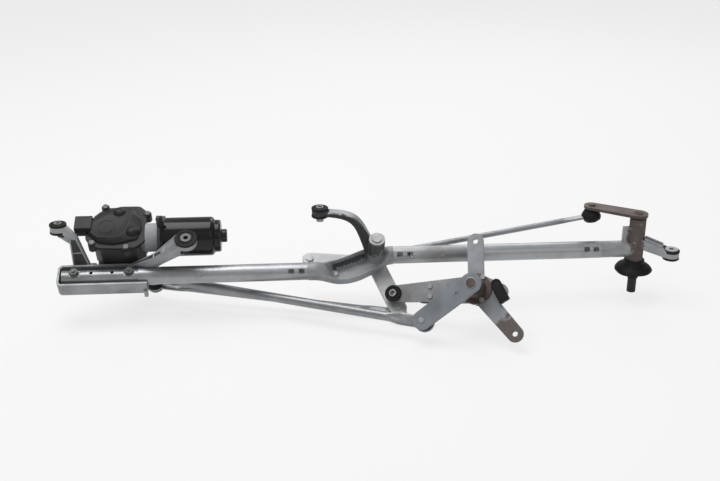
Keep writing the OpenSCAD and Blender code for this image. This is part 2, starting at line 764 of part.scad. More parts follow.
module gear_case() {
    color(cast_grey) in_frame() difference() {
        union() {
            translate([0, 0, case_floor]) linear_extrude(case_height) case_outline(0);
            translate([0, 0, case_top - 3]) linear_extrude(3) case_outline(lip);
            for (p = screw_places)
                translate([p.x, p.y, case_top - 9]) cylinder(r = screw_ear_r, h = 9);
            translate([wheel_x, wheel_y, output_boss_end])
                cylinder(r = output_boss_r, h = case_floor - output_boss_end + join);
            // Neck and flange towards the motor can
            translate([neck_start, motor_y, motor_n]) along_x()
                cylinder(d = neck_d, h = neck_x - neck_start - seat);
            translate([case_right - 1, motor_y - 15, motor_n - 15])
                cube([neck_start + 2 - case_right, 30, case_top - motor_n + 15]);
            translate([neck_x - can_flange_t, motor_y, motor_n]) {
                along_x() cylinder(r = can_flange_r, h = can_flange_t - seat);
                can_ears(can_flange_t - seat);
            }
        }
        difference() {
            translate([0, 0, case_floor + case_base_t]) linear_extrude(case_height)
                case_outline(-case_wall);
            translate([case_left, motor_y, motor_n]) along_x() cylinder(r = armature_r + 4, h = 12);
        }
        // Bearing of the armature's left end, and the way through to the neck
        translate([case_left + 2, motor_y, motor_n]) along_x() cylinder(r = armature_r + run, h = 20);
        translate([case_right - case_wall - join, motor_y, motor_n]) along_x()
            cylinder(r = armature_r + 2, h = 10);
        translate([neck_start + 2, motor_y, motor_n]) along_x() cylinder(r = neck_d / 2 - 3, h = neck_len);
        // Bore for the output bush
        translate([wheel_x, wheel_y, output_boss_end - join])
            cylinder(r = output_r + bush_wall + seat,
                h = case_floor + case_base_t - output_boss_end + 2 * join);
        for (p = bolt_places)
            translate([p.x, p.y, case_floor - join]) cylinder(r = 3 + seat, h = case_base_t - 1 + join);
        for (p = screw_places)
            translate([p.x, p.y, case_top - 7]) cylinder(r = 1.8 + seat, h = 8);
        for (s = [-1, 1])
            translate([neck_x - can_flange_t - join, motor_y, motor_n + s * ear_n]) along_x()
                cylinder(r = 2 + seat, h = can_flange_t + 2 * join);
    }
}

module gear_cover() {
    block_x = case_left - block_len;
    color(black_plastic) in_frame() difference() {
        union() {
            translate([0, 0, case_top + seat]) linear_extrude(cover_height - seat) case_outline(0);
            translate([0, 0, case_top + seat]) linear_extrude(2.5) case_outline(lip);
            for (p = screw_places)
                translate([p.x, p.y, case_top + seat]) cylinder(r = screw_ear_r, h = 3);
            // Raised ring, dome and bump on the top
            translate([case_left + 22, motor_y + 9, cover_top - join]) ring(8.5, 6.5, 1.5);
            translate([case_right - 15, motor_y, cover_top - join]) cylinder(r = 10, h = 3.5);
            translate([case_left + 34, case_back - 11, cover_top - join]) cylinder(r = 7, h = 4);
            // Connector block on the left side
            translate([block_x, block_v - block_w / 2, block_n])
                cube([block_len - lip - seat, block_w, block_h]);
            translate([block_x + 8, block_v - block_w / 2, case_top + 3])
                cube([block_len, block_w, cover_height - 3]);
        }
        translate([0, 0, case_top - join]) linear_extrude(cover_height - cover_wall + join)
            case_outline(-cover_wall);
        translate([block_x - join, block_v - block_w / 2 + 2, block_n + 2])
            cube([16, block_w - 4, block_h - 4]);
        for (p = screw_places)
            translate([p.x, p.y, case_top]) {
                translate([0, 0, -join]) cylinder(r = 1.8 + seat, h = 5);
                translate([0, 0, 3 + seat]) cylinder(r = screw_head_r + 0.4, h = cover_height);
            }
        // Pads so that the connector block clears the gear case
        translate([case_left - lip - seat, block_v - block_w, case_top - 12])
            cube([40, 2 * block_w, 12 + seat]);
    }
}

module motor_screws() {
    color(steel) in_frame() {
        for (p = screw_places)
            translate([p.x, p.y, case_top]) {
                translate([0, 0, -6]) cylinder(r = 1.8, h = 10);
                translate([0, 0, 3 + 2 * seat]) cylinder(r = screw_head_r, h = 2.6);
            }
        for (s = [-1, 1])
            translate([neck_x, motor_y, motor_n + s * ear_n]) along_x() {
                translate([0, 0, -can_flange_t - 1]) cylinder(r = 2, h = 2 * can_flange_t + 2);
                translate([0, 0, can_flange_t + seat]) hex_head(8, 4);
            }
    }
}

module connector_pins() {
    color(bronze) in_frame() for (i = [-2:2])
        translate([case_left - block_len + 6, block_v + 3.5 * i - 0.4, block_n + 4])
            cube([9.5 - seat, 0.8, 2.4]);
}

module motor_can() {
    color(black_paint) in_frame() translate([neck_x, motor_y, motor_n]) difference() {
        union() {
            along_x() rotate_extrude() polygon([[0, 0], [can_flange_r, 0], [can_flange_r, can_flange_t],
                [can_r, can_flange_t],
                [can_r, can_len - 1.5], [can_r - 1.5, can_len], [can_r - 4.5, can_len],
                [can_r - 4.5, can_len + can_step_len - 2], [can_r - 6.5, can_len + can_step_len],
                [can_boss_r, can_len + can_step_len],
                    [can_boss_r, can_len + can_step_len + can_boss_len - 1],
                [can_boss_r - 1, can_len + can_step_len + can_boss_len],
                    [0, can_len + can_step_len + can_boss_len]]);
            can_ears(can_flange_t);
        }
        translate([-join, 0, 0]) along_x() cylinder(r = can_r - can_wall, h = can_len - can_wall + join);
        along_x() cylinder(r = can_r - 4.5 - can_wall, h = can_len + can_step_len - can_wall);
        along_x() cylinder(r = armature_r + 2 + seat, h = can_len + can_step_len + can_boss_len - 2);
        for (s = [-1, 1])
            translate([-join, 0, s * ear_n]) along_x() cylinder(r = 2 + seat, h = can_flange_t + 2 * join);
    }
}

module field_magnets() {
    magnet_out = can_r - can_wall - seat;
    color(dark_steel) in_frame() translate([neck_x + 8, motor_y, motor_n]) along_x()
        for (a = [20, 200])
            rotate(a) rotate_extrude(angle = 140) translate([core_d / 2 + 0.7, 0])
                square([magnet_out - core_d / 2 - 0.7, 50]);
}

module brushes() {
    commutator_r = armature_r + 4.5;
    color(dark_steel) in_frame() for (a = [0, 180])
        translate([case_right + 10, motor_y, motor_n]) rotate([a, 0, 0])
            translate([-3, commutator_r + pass, -2.5]) cube([6, neck_d / 2 - 3.4 - commutator_r - pass, 5]);
}

module output_bush() {
    color(bronze) in_frame() translate([wheel_x, wheel_y, output_boss_end])
        ring(output_r + bush_wall, output_r + run, case_floor + case_base_t - output_boss_end);
}

module rear_bush() {
    color(bronze) in_frame() translate([can_end + can_step_len, motor_y, motor_n]) along_x()
        ring(armature_r + 2, armature_r + run, can_boss_len - 2 - seat);
}

module pivot_bushes() {
    color(bronze) {
        in_frame() translate([bell.x, bell.y, casting_under])
            ring(bell_shaft_r + bush_wall, bell_shaft_r + run, centre_boss_n - casting_under);
        translate([0, 0, bearing_low]) ring(spindle_r + bush_wall, spindle_r + run,
            bearing_top - bearing_low);
    }
}

module dust_cap() {
    neck_out = bearing_d / 2 + 3;
    color(rubber) rotate_extrude() polygon([[spindle_r + 0.4, spindle_end_len + 2],
        [cap_d / 2 - 2, spindle_end_len + 2],
        [cap_d / 2, spindle_end_len + 5], [cap_d / 2 - 3, spindle_end_len + 9],
            [neck_out + 4, bearing_low - 4],
        [neck_out, bearing_low], [neck_out, bearing_low + 6], [bearing_d / 2 + seat, bearing_low + 6],
        [bearing_d / 2 + seat, bearing_low - seat], [spindle_r + 0.4, bearing_low - seat]]);
}

module output_shaft() {
    shaft_top = motor_n + wheel_w / 2;
    color(steel) in_frame() translate([wheel_x, wheel_y, crank_under - 11])
        cylinder(r = output_r, h = shaft_top - crank_under + 11);
}

// Worm wheel outline: one four-sided tooth for each pitch
module wheel_outline() {
    root_r = wheel_r - 1.4;
    pitch = 360 / wheel_teeth;
    polygon([for (i = [0:wheel_teeth - 1]) for (j = [[root_r, 0.05], [root_r, 0.45], [wheel_r, 0.6],
        [wheel_r, 0.9]])
        j[0] * [cos((i + j[1]) * pitch), sin((i + j[1]) * pitch)]]);
}

module worm_wheel() {
    color(cream) in_frame() translate([wheel_x, wheel_y, wheel_z]) difference() {
        linear_extrude(wheel_w) wheel_outline();
        translate([0, 0, -join]) cylinder(r = output_r + seat, h = wheel_w + 2 * join);
        for (z = [-join, wheel_w - 2])
            translate([0, 0, z]) ring(wheel_r - 4, output_r + 4, 2 + join);
    }
}

module crank_arm() {
    color(zinc) in_frame() translate([0, 0, crank_under]) difference() {
        link_plate([wheel_x, wheel_y], [pin_x, pin_y], 14, 11, lever_t);
        plate_hole([wheel_x, wheel_y], output_r + seat, lever_t);
        plate_hole([pin_x, pin_y], neck_r + seat, lever_t);
    }
}

module crank_nut() {
    color(steel) in_frame() translate([wheel_x, wheel_y, crank_under - 8 - seat]) difference() {
        hex_head(1.5 * output_d, 8);
        translate([0, 0, -join]) cylinder(r = output_r + seat, h = 8 + 2 * join);
    }
}

module crank_ball_pin() {
    color(steel) in_frame() {
        translate([pin_x, pin_y, lower_ball.z]) cylinder(r = neck_r, h = -crank_drop - lower_ball.z + join);
        translate([pin_x, pin_y, seat - crank_drop]) cylinder(r = neck_r + 3, h = 2);
        translate([pin_x, pin_y, crank_under - 2]) cylinder(r = neck_r + 2, h = 2 - seat);
        translate(upper_ball) sphere(r = ball_r);
        translate(lower_ball) sphere(r = ball_r);
    }
}

module armature_shaft() {
    start = case_left + 3;
    worm_len = 34;
    color(steel) in_frame() translate([0, motor_y, motor_n]) {
        translate([start, 0, 0]) along_x()
            cylinder(r = armature_r, h = can_end + can_step_len + can_boss_len - 3 - start);
        translate([wheel_x - worm_len / 2, 0, 0]) along_x() difference() {
            cylinder(r = worm_r, h = worm_len);
            for (i = [1:10])
                translate([0, 0, i * worm_len / 11 - 0.8]) ring(worm_r + 1, worm_r - 0.7, 1.6);
        }
    }
}

module armature_core() {
    slots = 10;
    color(dark_steel) in_frame() translate([neck_x + 12, motor_y, motor_n]) along_x() linear_extrude(40)
        difference() {
        circle(core_d / 2);
        circle(armature_r + seat);
        for (i = [0:slots - 1])
            rotate(i * 360 / slots) translate([core_d / 2 - 7, -1.2]) square([8, 2.4]);
    }
}

module armature_windings() {
    color(copper) in_frame() for (x = [neck_x + 3, neck_x + 52 + seat])
        translate([x, motor_y, motor_n]) along_x() rotate_extrude()
            polygon([[armature_r + seat, 0], [core_d / 2 - 6, 0],
            [core_d / 2 - 3, 3], [core_d / 2 - 3, 6], [core_d / 2 - 6, 9 - seat],
                [armature_r + seat, 9 - seat]]);
}

module commutator() {
    color(copper) in_frame() translate([case_right + 6, motor_y, motor_n]) along_x()
        ring(armature_r + 4.5, armature_r + seat, neck_len - 8);
}

// Rod with flattened ends and an eye for a socket at each end, from the origin along X.
// The far end is turned about the rod by twist.
module rod_body(len, d, twist) {
    flat_w = 1.35 * d;
    taper = 14;
    module flat_end() {
        translate([socket_r - 1, -flat_w / 2, -eye_half])
            cube([flat_len - socket_r + 1, flat_w, 2 * eye_half]);
        cylinder(r = socket_r + 2, h = 2 * eye_half, center = true);
    }
    module taper_end() {
        hull() {
            translate([flat_len - 2, 0.3 - flat_w / 2, 0.3 - eye_half])
                cube([1, flat_w - 0.6, 2 * eye_half - 0.6]);
            translate([flat_len + taper, 0, 0]) along_x() cylinder(d = 0.94 * d, h = 1, $fn = 32);
        }
    }
    difference() {
        union() {
            flat_end();
            taper_end();
            translate([len, 0, 0]) rotate([-twist, 0, 180]) {
                flat_end();
                taper_end();
            }
            translate([flat_len + taper - 1, 0, 0]) along_x()
                cylinder(d = d, h = len - 2 * (flat_len + taper - 1));
        }
        cylinder(r = waist_r + seat, h = 4 * eye_half, center = true);
        translate([len, 0, 0]) rotate([twist, 0, 0])
            cylinder(r = waist_r + seat, h = 4 * eye_half, center = true);
    }
}

// Plastic socket clipped into a rod's eye. A through socket is open below as well.
module rod_socket(through) {
    difference() {
        rotate_extrude() polygon([[0, -socket_half], [socket_r - 1.5, -socket_half],
            [socket_r, -socket_half + 1.5],
            [socket_r, -eye_half - seat], [waist_r, -eye_half - seat], [waist_r, eye_half + seat],
                [socket_r, eye_half + seat],
            [socket_r, socket_half - 2], [socket_r - 3, socket_half], [0, socket_half]]);
        sphere(r = ball_r + run);
        cylinder(r = neck_r + 1.1, h = socket_half + join);
        if (through) mirror([0, 0, 1]) cylinder(r = neck_r + 1.1, h = socket_half + join);
    }
}

// Ball stud from a ball at the origin up to a shoulder at height top
module ball_stud(top) {
    sphere(r = ball_r);
    cylinder(r = neck_r, h = top);
    translate([0, 0, top - 1.5]) cylinder(r = neck_r + 2, h = 1.5);
}

module front_rod() {
    color(zinc) in_frame() aim(upper_ball, swing_ball_at)
        rod_body(norm(swing_ball_at - upper_ball), front_rod_d, front_twist);
}

module front_rod_sockets() {
    color(black_plastic) in_frame() aim(upper_ball, swing_ball_at) {
        rod_socket(true);
        translate([norm(swing_ball_at - upper_ball), 0, 0]) rotate([front_twist, 0, 0]) rod_socket(false);
    }
}

module rear_rod() {
    color(zinc) in_frame() aim(lower_ball, strap_ball)
        rod_body(norm(strap_ball - lower_ball), rear_rod_d, 0);
}

module rear_rod_sockets() {
    color(black_plastic) in_frame() aim(lower_ball, strap_ball) {
        rod_socket(false);
        translate([norm(strap_ball - lower_ball), 0, 0]) rod_socket(false);
    }
}

module rear_rod_stud() {
    color(steel) in_frame() translate(strap_ball) ball_stud(plate_under - pass - strap_ball.z);
}

module link_rod() {
    color(zinc) in_frame() aim(link_ball, right_ball)
        rod_body(norm(right_ball - link_ball), link_rod_d, link_twist);
}

module link_rod_sockets() {
    color(black_plastic) in_frame() aim(link_ball, right_ball) {
        rod_socket(false);
        translate([norm(right_ball - link_ball), 0, 0]) rotate([link_twist, 0, 0]) rod_socket(false);
    }
}

module link_rod_stud() {
    color(steel) translate(right_ball_world) ball_stud(right_lever_z - link_gap - right_ball_world.z);
}

module bell_crank() {
    color(zinc) in_frame() difference() {
        union() {
            translate([0, 0, plate_under]) {
                link_plate(bell, strap_end, strap_w / 2, strap_w / 2 - 0.5, lever_t);
                link_plate(bell, link_end, strap_w / 2, strap_w / 2 - 2, lever_t);
            }
            translate([bell.x, bell.y, plate_top - join])
                cylinder(r = bell_shaft_r + 4, h = casting_under - pass - plate_top + join);
            translate([strap_end.x, strap_end.y, plate_top - join]) cylinder(r = neck_r + 1, h = 2 + join);
        }
        translate([bell.x, bell.y, plate_under - join]) cylinder(r = bell_shaft_r + seat, h = 20);
        translate([link_end.x, link_end.y, plate_under - join])
            cylinder(r = neck_r + seat, h = lever_t + 2 * join);
    }
}

module bell_crank_shaft() {
    color(dark_steel) in_frame() translate([bell.x, bell.y, 0]) {
        translate([0, 0, plate_under - 2]) cylinder(r = bell_shaft_r, h = centre_boss_n + 6 - plate_under);
        translate([0, 0, plate_under - 2]) cylinder(r = bell_shaft_r + 1.5, h = 2 - seat);
    }
}

module bell_crank_washer() {
    color(steel) in_frame() translate([bell.x, bell.y, centre_boss_n + pass])
        ring(centre_boss_d / 2 - 0.3, bell_shaft_r + seat, 1.8);
}

module bell_crank_ball() {
    color(steel) in_frame() translate(link_ball) {
        sphere(r = ball_r);
        cylinder(r = neck_r, h = plate_top - link_ball.z + join);
        translate([0, 0, plate_under - link_ball.z - 2]) cylinder(r = neck_r + 2, h = 2 - seat);
        translate([0, 0, plate_top - link_ball.z + seat]) cylinder(r = neck_r + 1, h = 2);
    }
}

module right_lever() {
    color(rusty) difference() {
        union() {
            translate([0, 0, right_lever_z]) link_plate([0, 0], right_lever_end, 13, 11, lever_t);
            translate([right_lever_end.x, right_lever_end.y, right_lever_z + lever_t - join])
                cylinder(r = neck_r + 1, h = 2 + join);
        }
        translate([0, 0, right_lever_z - join]) cylinder(r = spindle_r + seat, h = lever_t + 2 * join);
    }
}

module right_spindle() {
    color(dark_steel) {
        cylinder(d = spindle_end_d, h = spindle_end_len + join);
        translate([0, 0, spindle_end_len])
            cylinder(r = spindle_r, h = right_lever_z + lever_t + 0.6 - spindle_end_len);
        translate([0, 0, bearing_top + pass])
            cylinder(r = spindle_r + 3.5, h = right_lever_z - bearing_top - pass - seat);
    }
}

module swing_lever() {
    color([0.66, 0.68, 0.70]) in_swing() translate([0, 0, -lever_t]) difference() {
        link_plate([0, 0], swing_end, swing_lever_w / 2 + 1, swing_lever_w / 2, lever_t);
        plate_hole([0, 0], spindle_r + seat, lever_t);
        plate_hole(swing_end, neck_r + seat, lever_t);
        plate_hole(0.28 * swing_end, 2.5, lever_t);
    }
}

module swing_spindle() {
    end_top = swing_bearing_low - 8;
    color(rusty) in_swing() {
        translate([0, 0, end_top]) cylinder(r = spindle_r, h = 1.2 - end_top);
        translate([0, 0, swing_bearing_top + pass])
            cylinder(r = spindle_r + 3.5, h = -lever_t - seat - swing_bearing_top - pass);
        translate([0, 0, end_top - spindle_end_len])
            cylinder(d = spindle_end_d, h = spindle_end_len + join);
    }
}

module swing_ball() {
    color(steel) in_swing() translate([swing_end.x, swing_end.y, 0]) {
        translate([0, 0, swing_ball_z]) sphere(r = ball_r);
        translate([0, 0, swing_ball_z]) cylinder(r = neck_r, h = 0.8 - swing_ball_z);
        translate([0, 0, -lever_t - 2]) cylinder(r = neck_r + 2, h = 2 - seat);
    }
}

module swing_housing() {
    color(rusty) in_swing() difference() {
        union() {
            translate([0, 0, swing_bearing_low]) cylinder(r = swing_bearing_r, h = swing_bearing_len);
            translate([0, 0, sheet_top + seat]) cylinder(r = flange_r, h = 3);
        }
        translate([0, 0, swing_bearing_low - join])
            cylinder(r = spindle_r + run, h = swing_bearing_len + 2 * join);
        for (a = [30, 150, 270])
            rotate(a) translate([flange_rivet_r + 0.5, 0, sheet_top - join]) cylinder(r = 2 + seat, h = 5);
    }
}

module swing_bracket() {
    color(steel) in_swing() translate([0, 0, sheet_low]) difference() {
        union() {
            cylinder(r = flange_r, h = sheet_t);
            link_plate([0, 0], swing_upper, swing_strap_r, swing_strap_r, sheet_t);
            link_plate([0, 0], swing_lower, swing_strap_r + 2, swing_strap_r, sheet_t);
            link_plate([0, 0], swing_left_mid, flange_r - 2, swing_wide_r, sheet_t);
            link_plate([0, 0], pad_place, flange_r, swing_strap_r, sheet_t);
        }
        plate_hole([0, 0], swing_bearing_r + seat, sheet_t);
        plate_hole(swing_upper, swing_hole_d / 2, sheet_t);
        plate_hole(swing_lower, swing_hole_d / 2, sheet_t);
        for (a = [30, 150, 270])
            rotate(a) plate_hole([flange_rivet_r + 0.5, 0], 2 + seat, sheet_t);
        for (p = arm_rivets)
            plate_hole(p, 2 + seat, sheet_t);
    }
}

module swing_arm_plate() {
    color(steel) in_swing() translate([0, 0, sheet_top + seat]) difference() {
        link_plate(swing_plate_start, swing_left, swing_wide_r, grommet_d / 2, sheet_t);
        plate_hole(swing_left, groove_r(grommet_d), sheet_t);
        for (p = arm_rivets)
            plate_hole(p, 2 + seat, sheet_t);
    }
}

// Rivet through a stack of the given thickness that starts at the origin
module rivet(stack) {
    translate([0, 0, -1.5 - seat]) cylinder(r = 3.4, h = 1.5);
    translate([0, 0, -join]) cylinder(r = 2, h = stack + 2 * join);
    translate([0, 0, stack + seat]) cylinder(r = 3.4, h = 1.5);
}

module swing_rivets() {
    color(steel) in_swing() {
        for (a = [30, 150, 270])
            rotate(a) translate([flange_rivet_r + 0.5, 0, sheet_low]) rivet(sheet_t + 3 + seat);
        for (p = arm_rivets)
            translate([p.x, p.y, sheet_low]) rivet(2 * sheet_t + seat);
    }
}

module swing_grommet() {
    color(rubber) in_swing() translate([swing_left.x, swing_left.y, sheet_top + seat + sheet_t / 2])
        grommet(grommet_d, groove_r(grommet_d), sheet_t);
}

module swing_sleeve() {
    color(steel) in_swing() translate([swing_left.x, swing_left.y, sheet_top + seat + sheet_t / 2])
        mount_sleeve(sheet_t, 0, 0);
}

module swing_seal() {
    color(rubber) in_swing() {
        translate([0, 0, swing_bearing_low - 4]) difference() {
            cylinder(r = swing_bearing_r + 2.5, h = seal_len);
            translate([0, 0, 4 - seat]) cylinder(r = swing_bearing_r + seat, h = seal_len);
            translate([0, 0, -join]) cylinder(r = spindle_r + 0.4, h = seal_len);
        }
        // Pad on the sheet beside the bearing
        difference() {
            translate([pad_place.x - pad_size.x / 2, pad_place.y - pad_size.y / 2, sheet_top + seat])
                cube(pad_size);
            translate([0, 0, sheet_top - join]) cylinder(r = flange_r + 0.3, h = pad_size.z + 3);
        }
    }
}

motor_bracket();
tube_stub();
left_arm();
bracket_bolts();
left_frame_tube();
centre_casting();
right_frame_tube();
right_pivot_housing();
left_grommet();
left_sleeve();
motor_grommet();
motor_sleeve();
centre_grommet();
centre_sleeve();
right_grommet();
right_sleeve();
gear_case();
gear_cover();
motor_screws();
connector_pins();
motor_can();
field_magnets();
brushes();
output_bush();
rear_bush();
pivot_bushes();
dust_cap();
output_shaft();
worm_wheel();
crank_arm();
crank_nut();
crank_ball_pin();
armature_shaft();
armature_core();
armature_windings();
commutator();
front_rod();
front_rod_sockets();
rear_rod();
rear_rod_sockets();
rear_rod_stud();
link_rod();
link_rod_sockets();
link_rod_stud();
bell_crank();
bell_crank_shaft();
bell_crank_washer();
bell_crank_ball();
right_lever();
right_spindle();
swing_lever();
swing_spindle();
swing_ball();
swing_housing();
swing_bracket();
swing_arm_plate();
swing_rivets();
swing_grommet();
swing_sleeve();
swing_seal();
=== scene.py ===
import json
import math

import bmesh
import bpy
import numpy as np
from mathutils import Matrix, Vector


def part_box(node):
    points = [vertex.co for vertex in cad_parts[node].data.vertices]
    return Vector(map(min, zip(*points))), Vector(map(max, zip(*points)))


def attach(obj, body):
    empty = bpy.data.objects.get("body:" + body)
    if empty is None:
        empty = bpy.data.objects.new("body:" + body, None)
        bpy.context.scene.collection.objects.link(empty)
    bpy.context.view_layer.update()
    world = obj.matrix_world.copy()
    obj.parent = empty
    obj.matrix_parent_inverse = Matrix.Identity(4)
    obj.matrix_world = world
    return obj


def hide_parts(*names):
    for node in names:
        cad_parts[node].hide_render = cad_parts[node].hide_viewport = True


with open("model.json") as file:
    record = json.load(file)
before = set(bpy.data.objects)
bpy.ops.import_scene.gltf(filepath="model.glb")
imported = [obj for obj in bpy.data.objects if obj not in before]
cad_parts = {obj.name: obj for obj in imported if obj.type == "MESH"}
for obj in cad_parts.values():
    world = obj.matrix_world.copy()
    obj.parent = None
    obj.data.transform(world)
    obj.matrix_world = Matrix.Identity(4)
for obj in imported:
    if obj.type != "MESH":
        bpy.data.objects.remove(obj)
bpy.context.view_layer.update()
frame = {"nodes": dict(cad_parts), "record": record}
NODES = frame["nodes"]
scene = bpy.context.scene


# Places, in millimetres

MM = 0.001
TILT = math.radians(27.0)
AXIS_HEIGHT = 66.0
ALONG = np.array([1.0, 0.0, 0.0])
ACROSS = np.array([0.0, math.cos(TILT), math.sin(TILT)])
SQUARE = np.array([0.0, -math.sin(TILT), math.cos(TILT)])
UPRIGHT = np.array([0.0, 0.0, 1.0])
SWING_HEAD = np.array([-252.0, -110.0, 72.0])
SWING_X = np.array([0.857167, 0.0, 0.515038])
SWING_Y = np.array([-0.351255, 0.731354, 0.584587])
SWING_AXIS = np.array([-0.376675, -0.681998, 0.626892])


def from_frame(points):
    """World point from the frame's coordinates, which start at the right spindle: u along the tubes, v across
    them in the frame's leaning plane, and n square to that plane."""
    p = np.asarray(points, float)
    u, v, n = p[..., :1], p[..., 1:2], p[..., 2:3]
    return u * ALONG + v * ACROSS + n * SQUARE + AXIS_HEIGHT * UPRIGHT


def middle_of(node):
    """Middle of a CAD node's box, in millimetres."""
    low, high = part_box(node)
    return (np.array(low, float) + np.array(high, float)) / (2 * MM)


def from_swing(points):
    """World point from the swing pivot's own coordinates, whose third axis is its spindle's."""
    p = np.asarray(points, float)
    return SWING_HEAD + p[..., :1] * SWING_X + p[..., 1:2] * SWING_Y + p[..., 2:3] * SWING_AXIS


def in_metres(point):
    """A place in metres, as the spots of a finish take it."""
    return tuple(point * MM)


# The motor's axis, the face its can starts at, and the bell crank's axis, in frame coordinates
MOTOR_V = 20.0
MOTOR_N = 28.0
CAN_U = -658.0
BELL_U = -366.0
BELL_V = 3.0

# The frame's tubes: radius, bore, axis of the left one, and the crimps, which sit on the viewer's side
TUBE_RADIUS = 12.0
TUBE_BORE = 10.0
LEFT_V = -24.0
CRIMP_TURN = math.radians(38.0)
CRIMP_SIDE = 11.0 * math.sin(CRIMP_TURN)
CRIMP_RISE = 11.0 * math.cos(CRIMP_TURN)
LEFT_CRIMPS = (-484.0, -470.0)
RIGHT_CRIMPS = (-334.0, -320.0, -72.0, -59.0)

# Places of stains and of painted shade; those of the arm lie beside the line that it follows
# The boss's dark spot is partly an oil stain and partly painted shade on its side and the arm's base
CENTRE_BOSS = in_metres(from_frame((BELL_U, BELL_V, 20.0)))
MOTOR_NECK = in_metres(from_frame((-666.0, MOTOR_V, MOTOR_N)))
# Painted shade along the channel's inner back wall
CHANNEL_SHADE = [in_metres(from_frame((-423.0 + 5.0 * k, -15.2 + 2.15 * k, -4.0))) for k in range(9)]
ARM_LINE = ((-378.2, 10.3, 17.3), (-380.4, 11.8, 22.8), (-382.6, 13.2, 28.4), (-384.6, 14.5, 33.0),
            (-386.6, 15.8, 37.6), (-388.6, 16.9, 41.2), (-390.6, 18.0, 44.8), (-394.8, 20.1, 50.3),
            (-399.7, 22.1, 54.2), (-403.0, 23.2, 55.6), (-406.3, 24.2, 56.6), (-409.7, 25.2, 57.3),
            (-413.1, 26.2, 57.8), (-416.7, 27.1, 57.9), (-420.3, 28.0, 57.8), (-424.0, 28.9, 57.6),
            (-427.6, 29.7, 57.3))
# Painted shade on the arm's front and lower side, and on the casting's eye round the mount
ARM_SHADE = [in_metres(from_frame((u, v - 9.0, n - 3.5))) for u, v, n in ARM_LINE]
CENTRE_EYE = in_metres(middle_of("centre_grommet"))
SHEET_RUST = in_metres(from_swing((16.8, -79.2, -32.0)))
# Painted shade in the tubes' crimps
CRIMP_PLACES = [in_metres(from_frame((u, v - CRIMP_SIDE, CRIMP_RISE)))
                for crimps, v in ((LEFT_CRIMPS, LEFT_V), (RIGHT_CRIMPS, 0.0)) for u in crimps]


# Shader building blocks

EDGE_RADIUS = 0.0007
BUMP_DISTANCE = 0.001
COAT_ROUGHNESS = 0.06
FILM_GRAIN = (0.18, 0.48)


def new_group(name, inputs, outputs):
    """An empty shader node group with inputs {name: default}, where a tuple is a colour and a number a value,
    and outputs {name: socket type}."""
    tree = bpy.data.node_groups.new(name, "ShaderNodeTree")
    for label, default in inputs.items():
        kind = "NodeSocketColor" if isinstance(default, tuple) else "NodeSocketFloat"
        socket = tree.interface.new_socket(label, in_out="INPUT", socket_type=kind)
        socket.default_value = default
    for label, kind in outputs.items():
        tree.interface.new_socket(label, in_out="OUTPUT", socket_type=kind)
    return tree, tree.nodes.new("NodeGroupInput"), tree.nodes.new("NodeGroupOutput")


def link(tree, a, b):
    """Joins output a to input b."""
    tree.links.new(a, b)


def noise(tree, vector, scale, detail=4.0, rough=0.55):
    """Noise at that many cells per metre on the given coordinates; scale may be a socket."""
    node = tree.nodes.new("ShaderNodeTexNoise")
    node.inputs["Detail"].default_value = detail
    node.inputs["Roughness"].default_value = rough
    link(tree, vector, node.inputs["Vector"])
    if isinstance(scale, (int, float)):
        node.inputs["Scale"].default_value = scale
    else:
        link(tree, scale, node.inputs["Scale"])
    return node.outputs["Fac"]


def stretch(tree, value, low, high):
    """value moved so that low gives 0 and high gives 1, kept between them."""
    node = tree.nodes.new("ShaderNodeMapRange")
    node.interpolation_type = "SMOOTHSTEP"
    node.inputs["From Min"].default_value = low
    node.inputs["From Max"].default_value = high
    link(tree, value, node.inputs["Value"])
    return node.outputs["Result"]


def times(tree, a, b, op="MULTIPLY"):
    """a and b multiplied, or put through another operation of the Math node; each is a socket or a number."""
    node = tree.nodes.new("ShaderNodeMath")
    node.operation = op
    for i, x in enumerate((a, b)):
        if isinstance(x, (int, float)):
            node.inputs[i].default_value = x
        else:
            link(tree, x, node.inputs[i])
    return node.outputs[0]


def blend_colour(tree, fac, a, b):
    """Colour that goes from a to b with the factor; each is a socket or a colour."""
    node = tree.nodes.new("ShaderNodeMix")
    node.data_type = "RGBA"
    link(tree, fac, node.inputs["Factor"])
    for socket, x in ((node.inputs["A"], a), (node.inputs["B"], b)):
        if isinstance(x, tuple):
            socket.default_value = x
        else:
            link(tree, x, socket)
    return node.outputs["Result"]


def make_patina():
    """Group: a base colour that drifts to a second tone in soft patches, then takes stains and small specks.
    Outputs the colour, a stain mask for roughness, and a fine grain height."""
    tree, ins, outs = new_group(
        "patina",
        {"Base": (0.5, 0.5, 0.5, 1), "Tone": (0.4, 0.4, 0.4, 1), "Stain": (0.1, 0.08, 0.06, 1),
         "Patch Scale": 30.0, "Stain Amount": 0.5, "Speck Amount": 0.4, "Grain Scale": 900.0},
        {"Color": "NodeSocketColor", "Mask": "NodeSocketFloat", "Grain": "NodeSocketFloat"})
    co = tree.nodes.new("ShaderNodeTexCoord").outputs["Object"]
    patch = stretch(tree, noise(tree, co, ins.outputs["Patch Scale"], 5.0), 0.35, 0.68)
    tone = blend_colour(tree, patch, ins.outputs["Base"], ins.outputs["Tone"])
    wide = stretch(tree, noise(tree, co, times(tree, ins.outputs["Patch Scale"], 0.43), 6.0, 0.65), 0.5, 0.78)
    stain = times(tree, wide, ins.outputs["Stain Amount"])
    dots = stretch(tree, noise(tree, co, times(tree, ins.outputs["Patch Scale"], 14.0), 2.0), 0.66, 0.74)
    speck = times(tree, dots, ins.outputs["Speck Amount"])
    mask = times(tree, stain, speck, "MAXIMUM")
    link(tree, blend_colour(tree, mask, tone, ins.outputs["Stain"]), outs.inputs["Color"])
    link(tree, mask, outs.inputs["Mask"])
    link(tree, noise(tree, co, ins.outputs["Grain Scale"], 3.0), outs.inputs["Grain"])
    return tree


